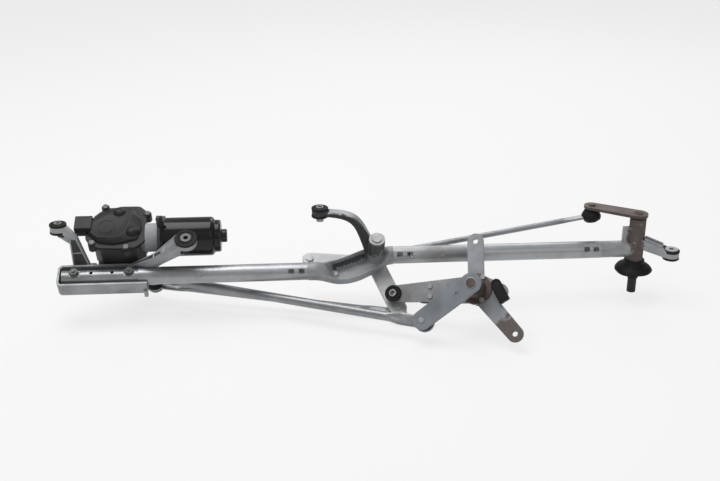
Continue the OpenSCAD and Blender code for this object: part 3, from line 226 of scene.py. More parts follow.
def make_scratches():
    """Group: thin marks along one direction, from noise whose coordinates are squeezed along X."""
    tree, ins, outs = new_group("scratches", {"Scale": 60.0, "Amount": 0.5}, {"Mask": "NodeSocketFloat"})
    co = tree.nodes.new("ShaderNodeTexCoord").outputs["Object"]
    mapping = tree.nodes.new("ShaderNodeMapping")
    mapping.inputs["Scale"].default_value = (0.06, 1.0, 1.0)
    link(tree, co, mapping.inputs["Vector"])
    lines = stretch(tree, noise(tree, mapping.outputs["Vector"], ins.outputs["Scale"], 6.0, 0.7), 0.52, 0.72)
    link(tree, times(tree, lines, ins.outputs["Amount"]), outs.inputs["Mask"])
    return tree


def make_edges():
    """Group: how far a softened normal turns from the face's own, as a mask on edges, and that normal."""
    tree, ins, outs = new_group("edges", {"Low": 0.02, "High": 0.25},
                                {"Mask": "NodeSocketFloat", "Normal": "NodeSocketVector"})
    soft = tree.nodes.new("ShaderNodeBevel")
    soft.samples = 4
    soft.inputs["Radius"].default_value = EDGE_RADIUS
    own = tree.nodes.new("ShaderNodeNewGeometry")
    dot = tree.nodes.new("ShaderNodeVectorMath")
    dot.operation = "DOT_PRODUCT"
    link(tree, soft.outputs["Normal"], dot.inputs[0])
    link(tree, own.outputs["Normal"], dot.inputs[1])
    turn = times(tree, 1.0, dot.outputs["Value"], "SUBTRACT")
    spread = tree.nodes.new("ShaderNodeMapRange")
    link(tree, turn, spread.inputs["Value"])
    link(tree, ins.outputs["Low"], spread.inputs["From Min"])
    link(tree, ins.outputs["High"], spread.inputs["From Max"])
    co = tree.nodes.new("ShaderNodeTexCoord").outputs["Object"]
    broken = stretch(tree, noise(tree, co, 220.0, 4.0), 0.34, 0.6)
    link(tree, times(tree, spread.outputs["Result"], broken), outs.inputs["Mask"])
    link(tree, soft.outputs["Normal"], outs.inputs["Normal"])
    return tree


def make_spot():
    """Group: mask that is 1 near a place and fades out with a ragged border. Flat scales the distance along
    Z, so 1 gives a ball and 0 an upright column."""
    tree, ins, outs = new_group(
        "spot",
        {"Radius": 0.02, "Ragged": 0.01, "Flat": 1.0, "X": 0.0, "Y": 0.0, "Z": 0.0},
        {"Mask": "NodeSocketFloat"})
    co = tree.nodes.new("ShaderNodeTexCoord").outputs["Object"]
    place = tree.nodes.new("ShaderNodeCombineXYZ")
    scale = tree.nodes.new("ShaderNodeCombineXYZ")
    for axis in "XYZ":
        link(tree, ins.outputs[axis], place.inputs[axis])
    scale.inputs["X"].default_value = 1.0
    scale.inputs["Y"].default_value = 1.0
    link(tree, ins.outputs["Flat"], scale.inputs["Z"])
    away = tree.nodes.new("ShaderNodeVectorMath")
    away.operation = "SUBTRACT"
    link(tree, co, away.inputs[0])
    link(tree, place.outputs[0], away.inputs[1])
    squeezed = tree.nodes.new("ShaderNodeVectorMath")
    squeezed.operation = "MULTIPLY"
    link(tree, away.outputs[0], squeezed.inputs[0])
    link(tree, scale.outputs[0], squeezed.inputs[1])
    far = tree.nodes.new("ShaderNodeVectorMath")
    far.operation = "LENGTH"
    link(tree, squeezed.outputs[0], far.inputs[0])
    wobble = times(tree, times(tree, noise(tree, co, 120.0, 5.0), 0.5, "SUBTRACT"), ins.outputs["Ragged"])
    edge = times(tree, far.outputs["Value"], times(tree, wobble, 4.0), "ADD")
    inside = times(tree, ins.outputs["Radius"], edge, "SUBTRACT")
    soft = tree.nodes.new("ShaderNodeMapRange")
    soft.interpolation_type = "SMOOTHSTEP"
    link(tree, inside, soft.inputs["Value"])
    link(tree, times(tree, ins.outputs["Ragged"], -0.5), soft.inputs["From Min"])
    link(tree, times(tree, ins.outputs["Ragged"], 0.5), soft.inputs["From Max"])
    link(tree, soft.outputs["Result"], outs.inputs["Mask"])
    return tree


PATINA = make_patina()
SCRATCHES = make_scratches()
EDGES = make_edges()
SPOT = make_spot()


def finish_of(name, base, tone, stain, metallic=0.0, rough=(0.4, 0.7), patch=30.0, stain_amount=0.5,
              speck=0.4, grain=900.0, bump=0.05, scratch=0.0, scratch_scale=60.0,
              scratch_tone=(0.7, 0.7, 0.7), coat=0.0, specular=0.5, worn=None, spots=()):
    """A surface finish: patina for colour, roughness that rises on stains, grain as bump, softened edges that
    may show a worn colour, optional scratches, and spots of another colour at places on the object. A spot is
    (colour, radius, ragged border, flat, place), in metres."""
    mat = bpy.data.materials.new(name)
    mat.use_nodes = True
    tree = mat.node_tree
    shader = tree.nodes["Principled BSDF"]
    patina = tree.nodes.new("ShaderNodeGroup")
    patina.node_tree = PATINA
    values = {"Base": (*base, 1), "Tone": (*tone, 1), "Stain": (*stain, 1), "Patch Scale": patch,
              "Stain Amount": stain_amount, "Speck Amount": speck, "Grain Scale": grain}
    for label, value in values.items():
        patina.inputs[label].default_value = value
    colour = patina.outputs["Color"]
    roughness_from = patina.outputs["Mask"]
    if scratch:
        marks = tree.nodes.new("ShaderNodeGroup")
        marks.node_tree = SCRATCHES
        marks.inputs["Scale"].default_value = scratch_scale
        marks.inputs["Amount"].default_value = scratch
        colour = blend_colour(tree, marks.outputs["Mask"], colour, (*scratch_tone, 1))
        roughness_from = times(tree, roughness_from, times(tree, marks.outputs["Mask"], 0.5), "ADD")
    for spot_colour, radius, ragged, flat, place in spots:
        spot = tree.nodes.new("ShaderNodeGroup")
        spot.node_tree = SPOT
        for label, value in zip(("Radius", "Ragged", "Flat", "X", "Y", "Z"), (radius, ragged, flat, *place)):
            spot.inputs[label].default_value = value
        film = times(tree, spot.outputs["Mask"], stretch(tree, patina.outputs["Grain"], *FILM_GRAIN))
        colour = blend_colour(tree, film, colour, (*spot_colour, 1))
        roughness_from = times(tree, roughness_from, film, "MAXIMUM")
    edges = tree.nodes.new("ShaderNodeGroup")
    edges.node_tree = EDGES
    if worn:
        colour = blend_colour(tree, edges.outputs["Mask"], colour, (*worn, 1))
    gloss = tree.nodes.new("ShaderNodeMapRange")
    gloss.inputs["To Min"].default_value = rough[0]
    gloss.inputs["To Max"].default_value = rough[1]
    link(tree, roughness_from, gloss.inputs["Value"])
    link(tree, colour, shader.inputs["Base Color"])
    link(tree, gloss.outputs["Result"], shader.inputs["Roughness"])
    relief = tree.nodes.new("ShaderNodeBump")
    relief.inputs["Strength"].default_value = bump
    relief.inputs["Distance"].default_value = BUMP_DISTANCE
    link(tree, patina.outputs["Grain"], relief.inputs["Height"])
    link(tree, edges.outputs["Normal"], relief.inputs["Normal"])
    link(tree, relief.outputs["Normal"], shader.inputs["Normal"])
    shader.inputs["Metallic"].default_value = metallic
    shader.inputs["Coat Weight"].default_value = coat
    shader.inputs["Coat Roughness"].default_value = COAT_ROUGHNESS
    shader.inputs["Specular IOR Level"].default_value = specular
    return mat


BROWN = (0.131, 0.104, 0.093)
# Oil stain at the boss, and painted shade in the centre casting's channel and in the tube crimps
OIL_AND_SHADE = (0.090, 0.091, 0.092)
SHADE = (0.060, 0.062, 0.065)
CAST_LOOK = dict(base=(0.36, 0.375, 0.39), tone=(0.28, 0.29, 0.30), stain=(0.10, 0.088, 0.075), metallic=0.5,
                 rough=(0.48, 0.8), patch=38, stain_amount=0.55, speck=0.35, grain=1400, bump=0.3,
                 worn=(0.54, 0.555, 0.57))
CAST = finish_of("cast_aluminium", **CAST_LOOK)
# Spots on the centre casting: oil stain and painted shade at the boss, painted shade in the channel, on the
# arm's face and on the eye
CENTRE = finish_of("centre_cast", **CAST_LOOK,
                   spots=[(OIL_AND_SHADE, 0.016, 0.006, 1.0, CENTRE_BOSS)]
                   + [(OIL_AND_SHADE, 0.0049, 0.0009, 1.0, place) for place in CHANNEL_SHADE]
                   + [(SHADE, 0.0094, 0.0016, 1.0, place) for place in ARM_SHADE]
                   + [(SHADE, 0.0135, 0.0009, 1.0, CENTRE_EYE)])
HOUSING = finish_of("cast_housing", **CAST_LOOK, spots=[(BROWN, 0.0145, 0.004, 0.0, (0.0, 0.0, 0.0))])
# Cast aluminium darkened to paint its shade, with real stains and worn edges; the neck's spot gives back the
# cast's own colour
CAST_IN_SHADE = finish_of("aluminium_in_painted_shade", (0.055, 0.055, 0.055), (0.035, 0.035, 0.035), (0.02, 0.018, 0.017),
                 metallic=0.3, rough=(0.5, 0.8), patch=40, stain_amount=0.5, speck=0.3, grain=1300, bump=0.3,
                 worn=(0.20, 0.20, 0.19), spots=[((0.357, 0.374, 0.390), 0.026, 0.002, 1.0, MOTOR_NECK)])
ZINC = finish_of("zinc_rod", (0.31, 0.325, 0.34), (0.235, 0.245, 0.255), (0.11, 0.09, 0.072), metallic=0.7,
                 rough=(0.38, 0.7), patch=22, stain_amount=0.5, speck=0.45, grain=1600, bump=0.1, scratch=0.3,
                 scratch_scale=90, scratch_tone=(0.48, 0.49, 0.50), worn=(0.5, 0.5, 0.5))
# Its spots paint shade in the crimps
TUBE = finish_of("zinc_tube", (0.38, 0.395, 0.41), (0.29, 0.30, 0.31), (0.12, 0.10, 0.08), metallic=0.7,
                 rough=(0.36, 0.68), patch=22, stain_amount=0.5, speck=0.5, grain=1600, bump=0.1,
                 scratch=0.35, scratch_scale=90, scratch_tone=(0.54, 0.55, 0.56), worn=(0.55, 0.55, 0.55),
                 spots=[(OIL_AND_SHADE, 0.0036, 0.0006, 1.0, place) for place in CRIMP_PLACES])
LEVER = finish_of("zinc_lever", (0.20, 0.222, 0.245), (0.155, 0.172, 0.19), (0.10, 0.082, 0.066),
                  metallic=0.25, rough=(0.5, 0.75), patch=30, stain_amount=0.4, speck=0.5, grain=1500,
                  bump=0.1, worn=(0.36, 0.38, 0.40))
STRAP = finish_of("zinc_strap", (0.52, 0.535, 0.545), (0.42, 0.43, 0.44), (0.18, 0.15, 0.115), metallic=0.3,
                  rough=(0.55, 0.8), patch=30, stain_amount=0.45, speck=0.4, grain=1500, bump=0.1,
                  worn=(0.64, 0.65, 0.65))
SHEET = finish_of("bracket_sheet", (0.29, 0.305, 0.325), (0.22, 0.23, 0.24), (0.10, 0.08, 0.062),
                  metallic=0.35, rough=(0.46, 0.8), patch=34, stain_amount=0.6, speck=0.5, grain=1500,
                  bump=0.12, worn=(0.42, 0.43, 0.44),
                  spots=[((0.132, 0.109, 0.097), 0.026, 0.010, 1.0, SHEET_RUST)])
PLATED = finish_of("plated_steel", (0.36, 0.365, 0.36), (0.27, 0.27, 0.265), (0.15, 0.115, 0.085),
                   metallic=0.5, rough=(0.42, 0.7), patch=90, stain_amount=0.5, speck=0.45, grain=1800,
                   bump=0.1, worn=(0.5, 0.5, 0.49))
SCREW = finish_of("screw_steel", (0.135, 0.135, 0.13), (0.095, 0.092, 0.088), (0.07, 0.052, 0.04),
                  metallic=0.4, rough=(0.5, 0.75), patch=110, stain_amount=0.5, speck=0.45, grain=1800,
                  bump=0.1, worn=(0.32, 0.32, 0.315))
SPINDLE = finish_of("spindle_black", (0.030, 0.028, 0.027), (0.020, 0.018, 0.017), (0.055, 0.035, 0.026),
                    metallic=0.3, rough=(0.5, 0.8), patch=70, stain_amount=0.4, speck=0.4, grain=1500,
                    bump=0.2, specular=0.3, worn=(0.09, 0.08, 0.075),
                    spots=[((0.089, 0.068, 0.065), 0.012, 0.001, 1.0, (0.0, 0.0, 0.119))])
RUBBER = finish_of("rubber_black", (0.010, 0.010, 0.011), (0.017, 0.017, 0.016), (0.06, 0.056, 0.05),
                   rough=(0.55, 0.85), patch=45, stain_amount=0.3, speck=0.25, grain=1500, bump=0.2,
                   specular=0.15)
PLASTIC = finish_of("plastic_black", (0.011, 0.011, 0.012), (0.018, 0.018, 0.020), (0.06, 0.056, 0.05),
                    rough=(0.4, 0.8), patch=35, stain_amount=0.22, speck=0.28, grain=2200, bump=0.12,
                    specular=0.2, worn=(0.05, 0.05, 0.052))
CAN = finish_of("can_paint", (0.006, 0.006, 0.007), (0.010, 0.010, 0.011), (0.06, 0.05, 0.042),
                rough=(0.2, 0.6), patch=26, stain_amount=0.16, speck=0.2, grain=700, bump=0.04, coat=0.12,
                specular=0.25, worn=(0.04, 0.038, 0.036))
RUSTY = finish_of("oxidised_steel", (0.115, 0.088, 0.085), (0.078, 0.056, 0.052), (0.075, 0.036, 0.02),
                  metallic=0.35, rough=(0.5, 0.85), patch=45, stain_amount=0.8, speck=0.7, grain=1300,
                  bump=0.3, worn=(0.20, 0.165, 0.145))
IRON = finish_of("core_iron", (0.12, 0.12, 0.125), (0.08, 0.08, 0.085), (0.05, 0.035, 0.025), metallic=0.7,
                 rough=(0.45, 0.8), patch=80, grain=1500, bump=0.2)
COPPER = finish_of("copper_wire", (0.55, 0.26, 0.12), (0.42, 0.18, 0.08), (0.12, 0.06, 0.03), metallic=0.9,
                   rough=(0.3, 0.6), patch=120, grain=1600, bump=0.2, scratch=0.5, scratch_scale=500,
                   scratch_tone=(0.30, 0.13, 0.05))
BRONZE = finish_of("bronze_bush", (0.45, 0.33, 0.16), (0.36, 0.25, 0.11), (0.12, 0.08, 0.04), metallic=0.9,
                   rough=(0.35, 0.65), patch=90, grain=1700, bump=0.15)
CREAM = finish_of("wheel_plastic", (0.68, 0.63, 0.49), (0.60, 0.54, 0.40), (0.30, 0.25, 0.16),
                  rough=(0.4, 0.7), patch=60, grain=1500, bump=0.08)

# The finish of each material slot, and of the nodes that differ from their slot
FINISHES = {
    "cast_aluminium": CAST, "zinc_tube": ZINC, "plated_steel": PLATED, "rubber_black": RUBBER,
    "plastic_black": PLASTIC, "can_paint": CAN, "oxidised_steel": RUSTY, "core_iron": IRON,
    "copper_wire": COPPER, "bronze_bush": BRONZE, "wheel_plastic": CREAM}
OWN_FINISH = {
    # The gear case takes the aluminium darkened as painted shade
    "gear_case": CAST_IN_SHADE, "swing_lever": LEVER, "bell_crank": STRAP, "right_pivot_housing": HOUSING,
    "swing_bracket": SHEET, "swing_arm_plate": SHEET, "left_frame_tube": TUBE, "right_frame_tube": TUBE,
    "tube_stub": TUBE, "motor_screws": SCREW, "bracket_bolts": SCREW, "motor_sleeve": SCREW,
    "right_spindle": SPINDLE}


def paint(obj, mat):
    """Gives a CAD node one finish."""
    obj.data.materials.clear()
    obj.data.materials.append(mat)


for part in frame["record"]["subparts"]:
    paint(NODES[part["node"]], OWN_FINISH.get(part["node"], FINISHES[part["material_slot"]]))


# Surfaces

def round_corners(points, cuts, steps=5):
    """Closed polygon whose corners become parabola arcs that start and end at the given distance from the
    corner."""
    p = np.asarray(points, float)
    cuts = np.broadcast_to(np.asarray(cuts, float), len(p))[:, None]
    before, after = np.roll(p, 1, 0) - p, np.roll(p, -1, 0) - p
    start = p + before / np.linalg.norm(before, axis=1, keepdims=True) * cuts
    end = p + after / np.linalg.norm(after, axis=1, keepdims=True) * cuts
    t = np.linspace(0.0, 1.0, steps)[None, :, None]
    arcs = (1 - t) ** 2 * start[:, None] + 2 * t * (1 - t) * p[:, None] + t ** 2 * end[:, None]
    return arcs.reshape(-1, p.shape[1])


def skin(grid, closed_rows=False):
    """Faces over a grid of points whose columns close on themselves. Open ends of the rows get a cap each."""
    rows, cols = grid.shape[:2]
    i = np.arange(rows if closed_rows else rows - 1)[:, None]
    j = np.arange(cols)[None, :]
    low, high = i * cols, ((i + 1) % rows) * cols
    right = (j + 1) % cols
    faces = np.stack([low + j, low + right, high + right, high + j], axis=-1).reshape(-1, 4).tolist()
    if not closed_rows:
        faces += [list(range(cols))[::-1], list(range((rows - 1) * cols, rows * cols))]
    return grid.reshape(-1, 3), faces


def lathe(profile, place, axis, steps=72, ripple=None):
    """Surface of revolution: (radius, height) points of a closed outline turned about an axis through place.
    ripple(angle, radius) adds to the height."""
    axis = np.asarray(axis, float) / np.linalg.norm(axis)
    side = np.cross(axis, [0.9, 0.1, 0.3])
    side /= np.linalg.norm(side)
    other = np.cross(axis, side)
    turn = np.linspace(0.0, 2 * math.pi, steps, endpoint=False)[:, None, None]
    r, h = profile[None, :, :1], profile[None, :, 1:2]
    if ripple is not None:
        h = h + ripple(turn, r)
    grid = np.asarray(place, float) + r * (np.cos(turn) * side + np.sin(turn) * other) + h * axis
    return skin(grid, closed_rows=True)


def dome(place, axis, radius, height, steps=48, rows=10):
    """Half ellipsoid on its base circle, as a revolved quarter of an ellipse closed along the base."""
    t = np.linspace(0.0, math.pi / 2, rows)
    arc = np.stack([radius * np.cos(t), height * np.sin(t)], axis=1)
    return lathe(np.concatenate([[[0.0, 0.0]], arc]), place, axis, steps)


def carry(path, up, profiles):
    """Profile carried along a path: its first coordinate lies across the path and its second towards up."""
    path = np.asarray(path, float)
    along = np.gradient(path, axis=0)
    along /= np.linalg.norm(along, axis=1, keepdims=True)
    across = np.cross(np.broadcast_to(up, path.shape), along)
    across /= np.linalg.norm(across, axis=1, keepdims=True)
    lift = np.cross(along, across)
    profiles = np.broadcast_to(profiles, (len(path),) + np.shape(profiles)[-2:])
    grid = path[:, None] + profiles[..., :1] * across[:, None] + profiles[..., 1:2] * lift[:, None]
    return skin(grid)


def bezier(a, b, c, d, count):
    """Cubic curve from a to d that leaves towards b and comes in from c."""
    t = np.linspace(0.0, 1.0, count)[:, None]
    a, b, c, d = (np.asarray(x, float) for x in (a, b, c, d))
    return (1 - t) ** 3 * a + 3 * t * (1 - t) ** 2 * b + 3 * t * t * (1 - t) * c + t ** 3 * d


def evenly(points, count):
    """Open polyline resampled at equal steps of its length."""
    p = np.asarray(points, float)
    far = np.concatenate([[0.0], np.cumsum(np.linalg.norm(np.diff(p, axis=0), axis=1))])
    at = np.linspace(0.0, far[-1], count)
    return np.stack([np.interp(at, far, p[:, k]) for k in range(p.shape[1])], axis=1)


def piece(name, parts, mat, body, instead_of=(), smooth=32.0):
    """One object from several skins, with normals outwards and edges sharp past the smooth angle."""
    counts = np.cumsum([0] + [len(p) for p, _ in parts])
    points = np.concatenate([p for p, _ in parts]) * MM
    faces = [[int(k + start) for k in face] for (_, part), start in zip(parts, counts) for face in part]
    mesh = bpy.data.meshes.new(name)
    mesh.from_pydata(points.tolist(), [], faces)
    work = bmesh.new()
    work.from_mesh(mesh)
    bmesh.ops.remove_doubles(work, verts=work.verts, dist=1e-6)
    bmesh.ops.recalc_face_normals(work, faces=work.faces)
    work.to_mesh(mesh)
    work.free()
    mesh.shade_smooth()
    mesh.set_sharp_from_angle(angle=math.radians(smooth))
    obj = bpy.data.objects.new(name, mesh)
    scene.collection.objects.link(obj)
    mesh.materials.append(mat)
    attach(obj, body)
    if instead_of:
        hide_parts(*instead_of)


# Rubber

MOUNT_BORE = 5.05
FLANGE_THICK = 3.5
GROOVE_DEPTH = 3.53


def grommet(node, axis, flange, eye, body):
    """Rubber mount: a revolved spool with two round-edged flanges of the given radius, a groove as high as
    its eye, and a shallow ring groove on each face."""
    half = eye / 2
    rim = half + FLANGE_THICK
    waist = flange - GROOVE_DEPTH
    corners = [(MOUNT_BORE, -rim), (0.56 * flange, -rim), (0.61 * flange, 0.7 - rim),
               (0.70 * flange, 0.7 - rim), (0.75 * flange, -rim), (flange, -rim), (flange, -half - 0.05),
               (waist, -half - 0.05)]
    outline = np.array(corners + [(r, -h) for r, h in corners[::-1]])
    cuts = [0.4, 0.3, 0.3, 0.3, 0.3, 1.5, 1.2, 0.3]
    profile = round_corners(outline, cuts + cuts[::-1])
    piece(node + "_rubber", [lathe(profile, middle_of(node), axis)], RUBBER, body, (node,))


def dust_umbrella():
    """Rubber cap on the right spindle: a revolved outline, from a collar that spreads into a thin umbrella
    down to a narrow stem. Two sine waves round the axis lift and lower the umbrella's rim."""
    outline = [(11.4, 50.0), (14.2, 50.0), (14.3, 45.0), (19.5, 42.2), (24.0, 39.0), (26.2, 35.2),
               (26.0, 33.4), (24.8, 33.6), (22.0, 36.6), (16.5, 39.2), (10.6, 39.6), (8.9, 36.0), (8.3, 27.0),
               (7.9, 22.3), (6.95, 22.3), (6.95, 43.9), (11.4, 43.9)]
    cuts = [0.4, 0.8, 1.6, 2.2, 1.8, 0.9, 0.5, 0.5, 1.6, 2.0, 1.4, 1.6, 1.5, 0.4, 0.3, 0.3, 0.3]
    profile = round_corners(np.array(outline), cuts)

    def wave(angle, radius):
        """Height of the rim's wave, which grows with the square of the way out from 15 mm."""
        rise = np.clip((radius - 15.0) / 11.0, 0.0, 1.0) ** 2
        return rise * (0.9 * np.sin(2 * angle + 0.6) + 0.5 * np.sin(5 * angle))

    cap = lathe(profile, (0.0, 0.0, 0.0), UPRIGHT, 96, wave)
    piece("dust_umbrella", [cap], RUBBER, "frame", ("dust_cap",))


grommet("left_grommet", UPRIGHT, 11.5, 7.0, "frame")
grommet("motor_grommet", SQUARE, 15.0, 7.0, "frame")
grommet("centre_grommet", UPRIGHT, 11.5, 7.0, "frame")
grommet("right_grommet", UPRIGHT, 11.5, 7.0, "frame")
grommet("swing_grommet", SWING_AXIS, 11.5, 3.0, "swing_bracket")
dust_umbrella()


# Tubes, motor can and rods

CRIMP_DEPTH = 1.9
CRIMP_HALF_LENGTH = 3.2
CRIMP_HALF_WIDTH = 2.8
CRIMP_SOFT = 0.8
DIMPLE_DEPTH = 0.55
DIMPLE_RADIUS = 2.4
DIMPLE_SOFT = 1.6
WOBBLE_DEPTH = 0.05
WOBBLE_LENGTH = 17.0

# Distances along a rod from an eye's middle: where its section starts, how far it is flat, and the crease
ROD_START = 11.0
ROD_FLAT = 32.0
ROD_FLAT_FADE = 18.0
ROD_CREASE = 42.0
ROD_CREASE_FADE = 9.0
ROD_FINE_END = 62.0
ROD_PLAIN_START = 66.0
EYE_HALF_THICK = 2.0


def bump_at(x, middle, half, soft):
    """1 within half of the middle, with a smooth fall to 0 over the soft distance outside it."""
    t = np.clip((half + soft - np.abs(x - middle)) / soft, 0.0, 1.0)
    return t * t * (3 - 2 * t)


def pressed_tube(name, node, start, end, v, crimps, dimple):
    """Hollow tube: its outer radius, less a soft square dent at each crimp, a round dimple on the viewer's
    side and a slow wobble along it, carried along the tube's axis and closed by the bore."""
    fine = [np.linspace(c - 6.0, c + 6.0, 48) for c in (*crimps, dimple)]
    u = np.unique(np.round(np.concatenate([np.arange(start, end, 2.5), [end]] + fine), 3))
    u = u[(u >= start) & (u <= end)][:, None]
    turn = np.linspace(-math.pi, math.pi, 120, endpoint=False)[None, :]
    across = bump_at(turn * TUBE_RADIUS, CRIMP_TURN * TUBE_RADIUS, CRIMP_HALF_WIDTH, CRIMP_SOFT)
    dents = sum(bump_at(u, c, CRIMP_HALF_LENGTH, CRIMP_SOFT) * across for c in crimps)
    away = np.hypot(u - dimple, (turn - CRIMP_TURN) * TUBE_RADIUS)
    radius = TUBE_RADIUS - CRIMP_DEPTH * dents
    radius = radius - DIMPLE_DEPTH * bump_at(away, 0.0, DIMPLE_RADIUS, DIMPLE_SOFT)
    radius = radius - WOBBLE_DEPTH * (1 + np.sin(u / WOBBLE_LENGTH + 2 * turn))
    inner = np.full_like(turn, TUBE_BORE)
    lip = inner * 1.16
    wall = np.stack([u + 0 * turn, v - radius * np.sin(turn), radius * np.cos(turn)], axis=-1)
    close = [np.stack([x + 0 * r, v - r * np.sin(turn), r * np.cos(turn)], axis=-1) for x, r in
             ((end, lip), (end, inner), (start, inner), (start, lip))]
    grid = np.concatenate([wall] + close)
    piece(name, [skin(from_frame(grid), closed_rows=True)], TUBE, "frame", (node,))


def motor_can_shell():
    """Drawn motor can: a hollow outline with rolled corners, revolved about the motor's axis, and a flange
    with two ears. An ear's outline is stacked along that axis, round a screw hole."""
    outline = [(24.5, 0.05), (29.0, 0.0), (29.0, 4.0), (26.5, 4.0), (26.5, 71.0), (22.0, 71.0), (22.0, 80.0),
               (9.0, 80.0), (9.0, 88.0), (0.02, 88.0), (0.02, 86.0), (6.05, 86.0), (6.05, 78.0), (20.0, 78.0),
               (20.0, 69.0), (24.5, 69.0)]
    cuts = [0.3, 0.9, 0.9, 1.2, 5.0, 1.6, 3.0, 2.0, 1.6, 0.01, 0.01, 0.4, 0.4, 0.6, 0.6, 0.6]
    place = from_frame((CAN_U, MOTOR_V, MOTOR_N))
    parts = [lathe(round_corners(np.array(outline), cuts), place, ALONG, 128)]
    turn = np.linspace(0.0, math.pi, 25)[:, None]
    arc = np.concatenate([5.0 * np.cos(turn), 37.0 + 5.0 * np.sin(turn)], axis=1)
    going_up = [(16.0, 23.0), (11.0, 28.0), (6.0, 32.5)]
    going_down = [(-6.0, 32.5), (-11.0, 28.0), (-16.0, 23.0)]
    ear = round_corners(np.concatenate([going_up, arc, going_down]), 0.35, 3)
    screw = np.array([0.0, 37.0])
    bore = screw + (ear - screw) / np.linalg.norm(ear - screw, axis=1, keepdims=True) * 2.3
    wide = ear - bore
    rings = [(0.4, bore), (0.05, bore + wide * 0.1), (0.05, ear), (3.3, ear), (3.8, bore + wide * 0.9),
             (3.8, bore + wide * 0.1), (3.4, bore)]
    for sign in (-1.0, 1.0):
        grid = np.stack([
            np.column_stack([np.full(len(p), CAN_U + x), MOTOR_V + p[:, 0], MOTOR_N + sign * p[:, 1]])
            for x, p in rings])
        parts.append(skin(from_frame(grid), closed_rows=True))
    piece("motor_can_shell", parts, CAN, "frame", ("motor_can",), 40.0)


def square_to(way, axis):
    """The axis with its part along the way taken out, at length 1."""
    rest = np.asarray(axis, float) - np.sum(np.asarray(axis) * way, axis=-1, keepdims=True) * way
    return rest / np.linalg.norm(rest, axis=-1, keepdims=True)


def pressed_rod(node, start, end, end_axis, size):
    """Rod from a tube pressed flat at both ends: a section whose sides are powers of sine and cosine, carried
    along a line. Towards the eyes it grows wider, thinner and squarer, with a crease where the pressing
    starts, and between them it turns to the far eye's axis."""
    start, end = from_frame(start), from_frame(end)
    far = np.linalg.norm(end - start)
    way = (end - start) / far
    tip = np.linspace(ROD_START, ROD_FINE_END, 70)
    plain = np.linspace(ROD_PLAIN_START, far - ROD_PLAIN_START, 40)
    s = np.concatenate([tip, plain, (far - tip)[::-1]])[:, None]
    near = np.minimum(s, far - s)
    flat = bump_at(near, 0.0, ROD_FLAT, ROD_FLAT_FADE)
    crease = bump_at(near, ROD_CREASE, 2.0, ROD_CREASE_FADE)
    turn = np.linspace(0.0, 2 * math.pi, 64, endpoint=False)[None, :]
    power = 2 / (2 + 3 * flat)
    wide = size / 2 * (1 + 0.35 * flat)
    thick = size / 2 * (1 - flat) + EYE_HALF_THICK * flat
    x = wide * np.sign(np.cos(turn)) * np.abs(np.cos(turn)) ** power
    y = thick * np.sign(np.sin(turn)) * np.abs(np.sin(turn)) ** power
    y = y * (1 - 0.38 * crease * np.exp(-(x / (0.38 * wide)) ** 2))
    t = np.clip((s / far - 0.2) / 0.6, 0.0, 1.0)
    near_up, far_up = square_to(way, SQUARE), square_to(way, end_axis)
    up = square_to(way, near_up * (1 - t) + far_up * t)
    side = np.cross(up, way)
    grid = start + s[..., None] * way + x[..., None] * side[:, None] + y[..., None] * up[:, None]
    eye = round_corners([(9.05, -EYE_HALF_THICK), (13.0, -EYE_HALF_THICK), (13.0, EYE_HALF_THICK),
                         (9.05, EYE_HALF_THICK)], [0.3, 0.8, 0.8, 0.3])
    parts = [skin(grid), lathe(eye, start, near_up), lathe(eye, end, far_up)]
    piece(node + "_pressed", parts, ZINC, node, (node,))


pressed_rod("front_rod", (-676.687, 12.887, -50.5), (-310.27, -119.11, 3.631), SWING_AXIS, 12.5)
pressed_rod("rear_rod", (-676.687, 12.887, -66.1), (-340.661, -74.987, -33.6), SQUARE, 10.0)
pressed_rod("link_rod", (-457.314, 14.212, -40.2), (-56.819, 48.433, 16.849), UPRIGHT, 8.0)
pressed_tube("left_tube_pressed", "left_frame_tube", -690.0, -461.0, LEFT_V, LEFT_CRIMPS, -606.0)
pressed_tube("right_tube_pressed", "right_frame_tube", -343.0, -50.0, 0.0, RIGHT_CRIMPS, -275.0)
motor_can_shell()


# Gear cover

COVER_BASE = 34.06
PLUG_V = 36.0
PLUG_N = 37.0


